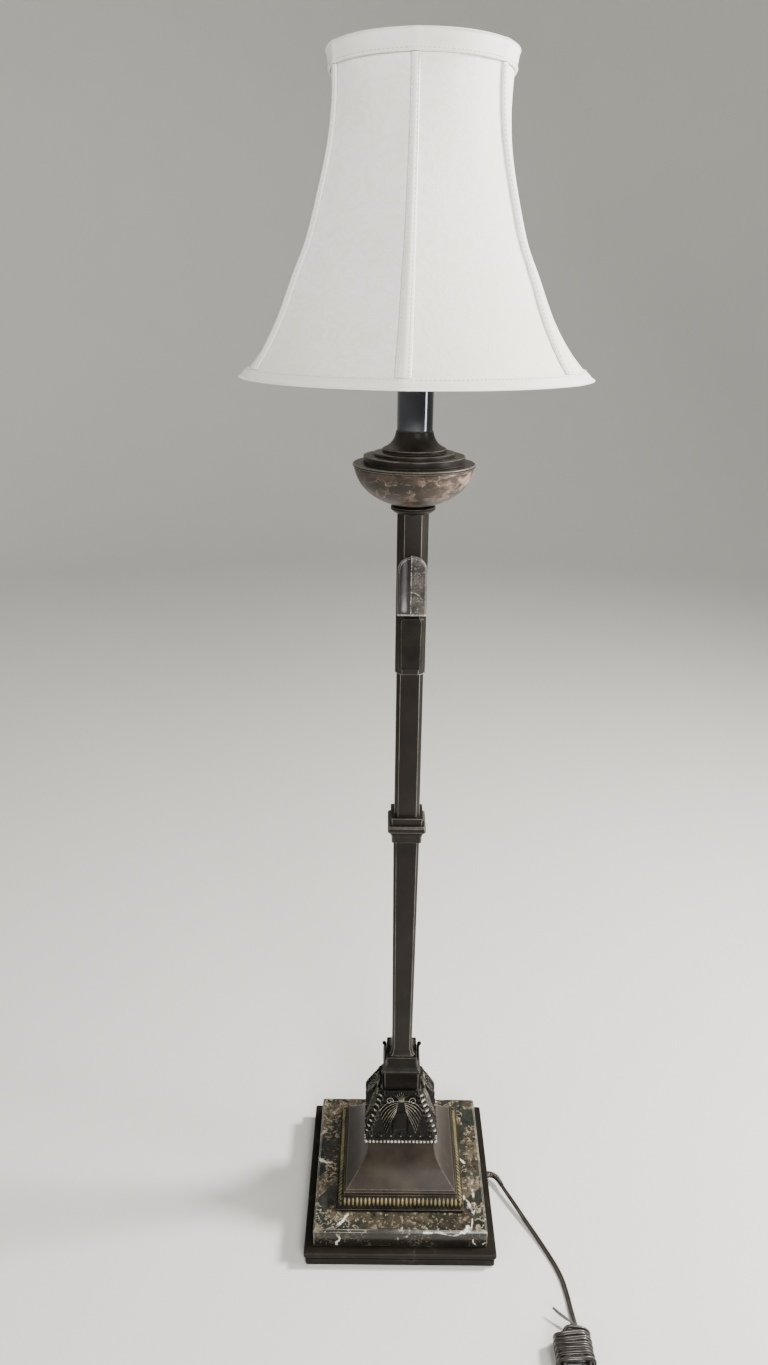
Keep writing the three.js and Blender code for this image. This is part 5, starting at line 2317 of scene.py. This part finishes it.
    def _flat_size(self) -> tuple[float, float, float]:
        """A panel's flat width, length and area, in metres and square metres."""
        profile = np.array([self._bell(s) for s in np.linspace(0, 1, 101)])
        steps = np.linalg.norm(np.diff(profile, axis=0), axis=1)
        arcs = profile[:, 0] * math.radians(self.step)
        area = float(((arcs[1:] + arcs[:-1]) / 2 * steps).sum())
        return MM * float(arcs.max()), MM * float(steps.sum()), MM * MM * area

    def seam_trim(self, index: int) -> None:
        """The folded braid over a seam, thick in its middle and thin at its edges."""
        name = f"seam_braid_{index + 1}"
        seam = self.seam(index)
        shares = np.linspace(0.088, 0.912, 90)
        azimuths = np.linspace(seam - self.braid, seam + self.braid, 13)

        def outer(share: float, azimuth: float) -> float:
            """A rounded back with a fold line along each edge."""
            across = (azimuth - seam) / self.braid
            back = 0.75 + 1.35 * math.sqrt(max(0.0, 1 - across**4))
            return back - 0.45 * hump(abs(across) - 0.62, 0.12)

        mesh = self._wall(name, shares, azimuths, outer, lambda share, azimuth: 0.45)
        dressed(new_object(name, mesh), TRIM, Body.SHADE, f"seam_trim_{index + 1}")

    def band(self, name: str, node: str, low: float, high: float, rise: Profile) -> None:
        """A braid band right round the bell, whose back follows a profile from 0 to 1.

        Args:
            name: the piece's name.
            node: the frame node that it stands for.
            low: the share where it starts.
            high: the share where it ends.
            rise: gives the back's height.
        """
        shares = np.linspace(low, high, 25)
        azimuths = np.linspace(self.first_seam, self.first_seam + 360, 217)[:-1]

        def outer(share: float, azimuth: float) -> float:
            """The band's back, with a small swell where it crosses a seam."""
            half = self.step / 2
            middle = (azimuth - self.first_seam + half) % self.step - half
            return rise((share - low) / (high - low)) + 0.7 * hump(middle, 3.4)

        mesh = self._wall(name, shares, azimuths, outer, lambda share, azimuth: 0.4, ring=True)
        dressed(new_object(name, mesh), TRIM, Body.SHADE, node)

    def stitches(self, rows: RowOfCopies) -> None:
        """Stitches along the bands' edges and both edges of every seam braid."""
        loops = []
        turn = np.linspace(self.first_seam, self.first_seam + 360, 181)
        for share, outset in ((0.078, 1.5), (0.925, 1.9)):
            loops.append([self.at(share, a, outset) for a in turn])
        for index in range(self.panels):
            for side in (-1, 1):
                azimuth = self.seam(index) + 1.62 * side
                loops.append([self.at(s, azimuth, 1.75) for s in np.linspace(0.1, 0.9, 80)])
        copy = dome_mesh("stitch", (0.95 * MM, 0.28 * MM, 0.28 * MM), 4, 6)
        guide = edge_loops("stitch_lines", loops)
        made = rows.run("shade_stitches", guide, copy, THREAD, Pitch=2.9 * MM, Size=1.0, Jitter=0.1)
        dressed(made, THREAD, Body.SHADE)

    def build(self, rows: RowOfCopies) -> None:
        """Make the whole shade."""
        for index in range(self.panels):
            self.panel(index)
            self.seam_trim(index)

        def hem(t: float) -> float:
            """A rolled lip at the bottom, then a flat braid."""
            lip = 0.9 + 1.0 * hump(t - 0.1, 0.1)
            return lip + 0.5 * math.sin(math.pi * clamped((t - 0.25) / 0.75))

        def rim(t: float) -> float:
            """A flat braid with a rolled lip at the top and bottom."""
            lips = hump(t - 0.93, 0.06) + 0.6 * hump(t - 0.06, 0.06)
            return 1.2 + 0.9 * lips + 0.3 * math.sin(math.pi * t)

        self.band("hem_braid", "hem_trim", 0.0, 0.085, hem)
        self.band("rim_braid", "top_band", 0.915, 1.0, rim)
        self.stitches(rows)
        Squared("shade_cage", STEEL, 0.1 * MM, body=Body.SHADE, angle=100.0).build()
        Squared("spider", BRASS, 0.1 * MM, body=Body.SHADE, angle=80.0).build()


# ---------------------------------------------------------------------------------------------
# Stage
# ---------------------------------------------------------------------------------------------


@dataclass(frozen=True)
class AreaLight:
    """A soft light aimed at a height on the lamp's axis."""

    name: str
    place: Point
    size: Pair
    power: float
    colour: Colour = (1.0, 1.0, 1.0)
    shape: str = "DISK"
    aim: float = 0.45

    def build(self) -> None:
        """Place the light."""
        data = bpy.data.lights.new(self.name, "AREA")
        data.shape = self.shape
        data.size, data.size_y = self.size
        data.energy = self.power
        data.color = self.colour
        light = bpy.data.objects.new(self.name, data)
        ahead = Vector((0.0, 0.0, self.aim)) - Vector(self.place)
        turn = ahead.to_track_quat("-Z", "Y").to_matrix().to_4x4()
        light.matrix_world = Matrix.Translation(self.place) @ turn
        bpy.context.scene.collection.objects.link(light)


@dataclass
class Stage:
    """The camera, the studio light and the pale floor."""

    eye: Point = (-0.0219, -0.7295, 0.8343)
    lens: float = 25.5
    tilt: float = 68.68
    roll: float = 0.63
    pan: float = -0.1

    def build(self) -> None:
        """Place everything round the lamp."""
        data = bpy.data.cameras.new("camera")
        data.lens = self.lens
        data.sensor_width = 36.0
        camera = bpy.data.objects.new("camera", data)
        pan = Matrix.Rotation(math.radians(self.pan), 4, "Z")
        turn = pan @ Matrix.Rotation(math.radians(self.tilt), 4, "X")
        turn = turn @ Matrix.Rotation(math.radians(self.roll), 4, "Z")
        camera.matrix_world = Matrix.Translation(self.eye) @ turn
        bpy.context.scene.collection.objects.link(camera)
        bpy.context.scene.camera = camera
        for light in (
            AreaLight("key", (1.2, 0.12, 1.35), (0.3, 0.3), 66.0, (1.0, 0.965, 0.92)),
            AreaLight("fill", (-1.5, -1.3, 1.6), (1.2, 1.2), 18.0, (0.93, 0.96, 1.0)),
            AreaLight("front", (0.5, -1.9, 1.5), (0.8, 0.8), 54.0, (1.0, 0.985, 0.96)),
            AreaLight("strip", (0.95, -0.32, 0.66), (0.16, 0.95), 8.0, shape="RECTANGLE", aim=0.66),
        ):
            light.build()
        self._world()
        self._floor()

    @staticmethod
    def _world() -> None:
        """An even pale surround."""
        world = bpy.data.worlds.new("surround")
        world.use_nodes = True
        background = world.node_tree.nodes["Background"]
        background.inputs["Color"].default_value = (0.92, 0.93, 0.95, 1.0)
        background.inputs["Strength"].default_value = 0.3
        bpy.context.scene.world = world

    @staticmethod
    def _floor() -> None:
        """A wide round pale floor that curves up all round the lamp."""
        sides, flat, curve = 64, 2.6, 1.5
        bends = np.linspace(0.0, math.pi / 2, 14)
        profile = [(flat + curve * math.sin(a), curve - curve * math.cos(a)) for a in bends]
        profile.append((flat + curve, 5.0))
        corners = []
        for reach, rise in profile:
            for angle in full_turn(sides):
                corners.append((reach * math.cos(angle), reach * math.sin(angle), rise - 0.0002))
        faces: list[Face] = [tuple(range(sides))]
        faces += [(b, a, d, c) for a, b, c, d in band_faces(len(profile), sides)]
        floor = new_object("studio_floor", mesh_from("studio_floor", corners, faces))
        floor.data.materials.append(FLOOR.material())
        floor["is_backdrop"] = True


def sizes() -> list[list[float]]:
    """The visible model's lowest and highest corners as plain lists."""
    return [[round(float(c), 6) for c in corner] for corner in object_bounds()]


def main() -> None:
    """Build the lamp round its frame."""
    logging.basicConfig(level=logging.INFO, format="%(message)s")
    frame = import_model()
    NODES.update(frame["nodes"])
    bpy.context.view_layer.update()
    Stage().build()
    Lead().build()
    rows = RowOfCopies("row_of_copies", {"Pitch": 3.0 * MM, "Size": 1.0, "Jitter": 0.0})
    Base().build()
    Foot().build(rows)
    Column().build()
    Bowl().build()
    Socket().build(rows)
    Harp().build()
    Shade().build(rows)


if __name__ == "__main__":
    main()
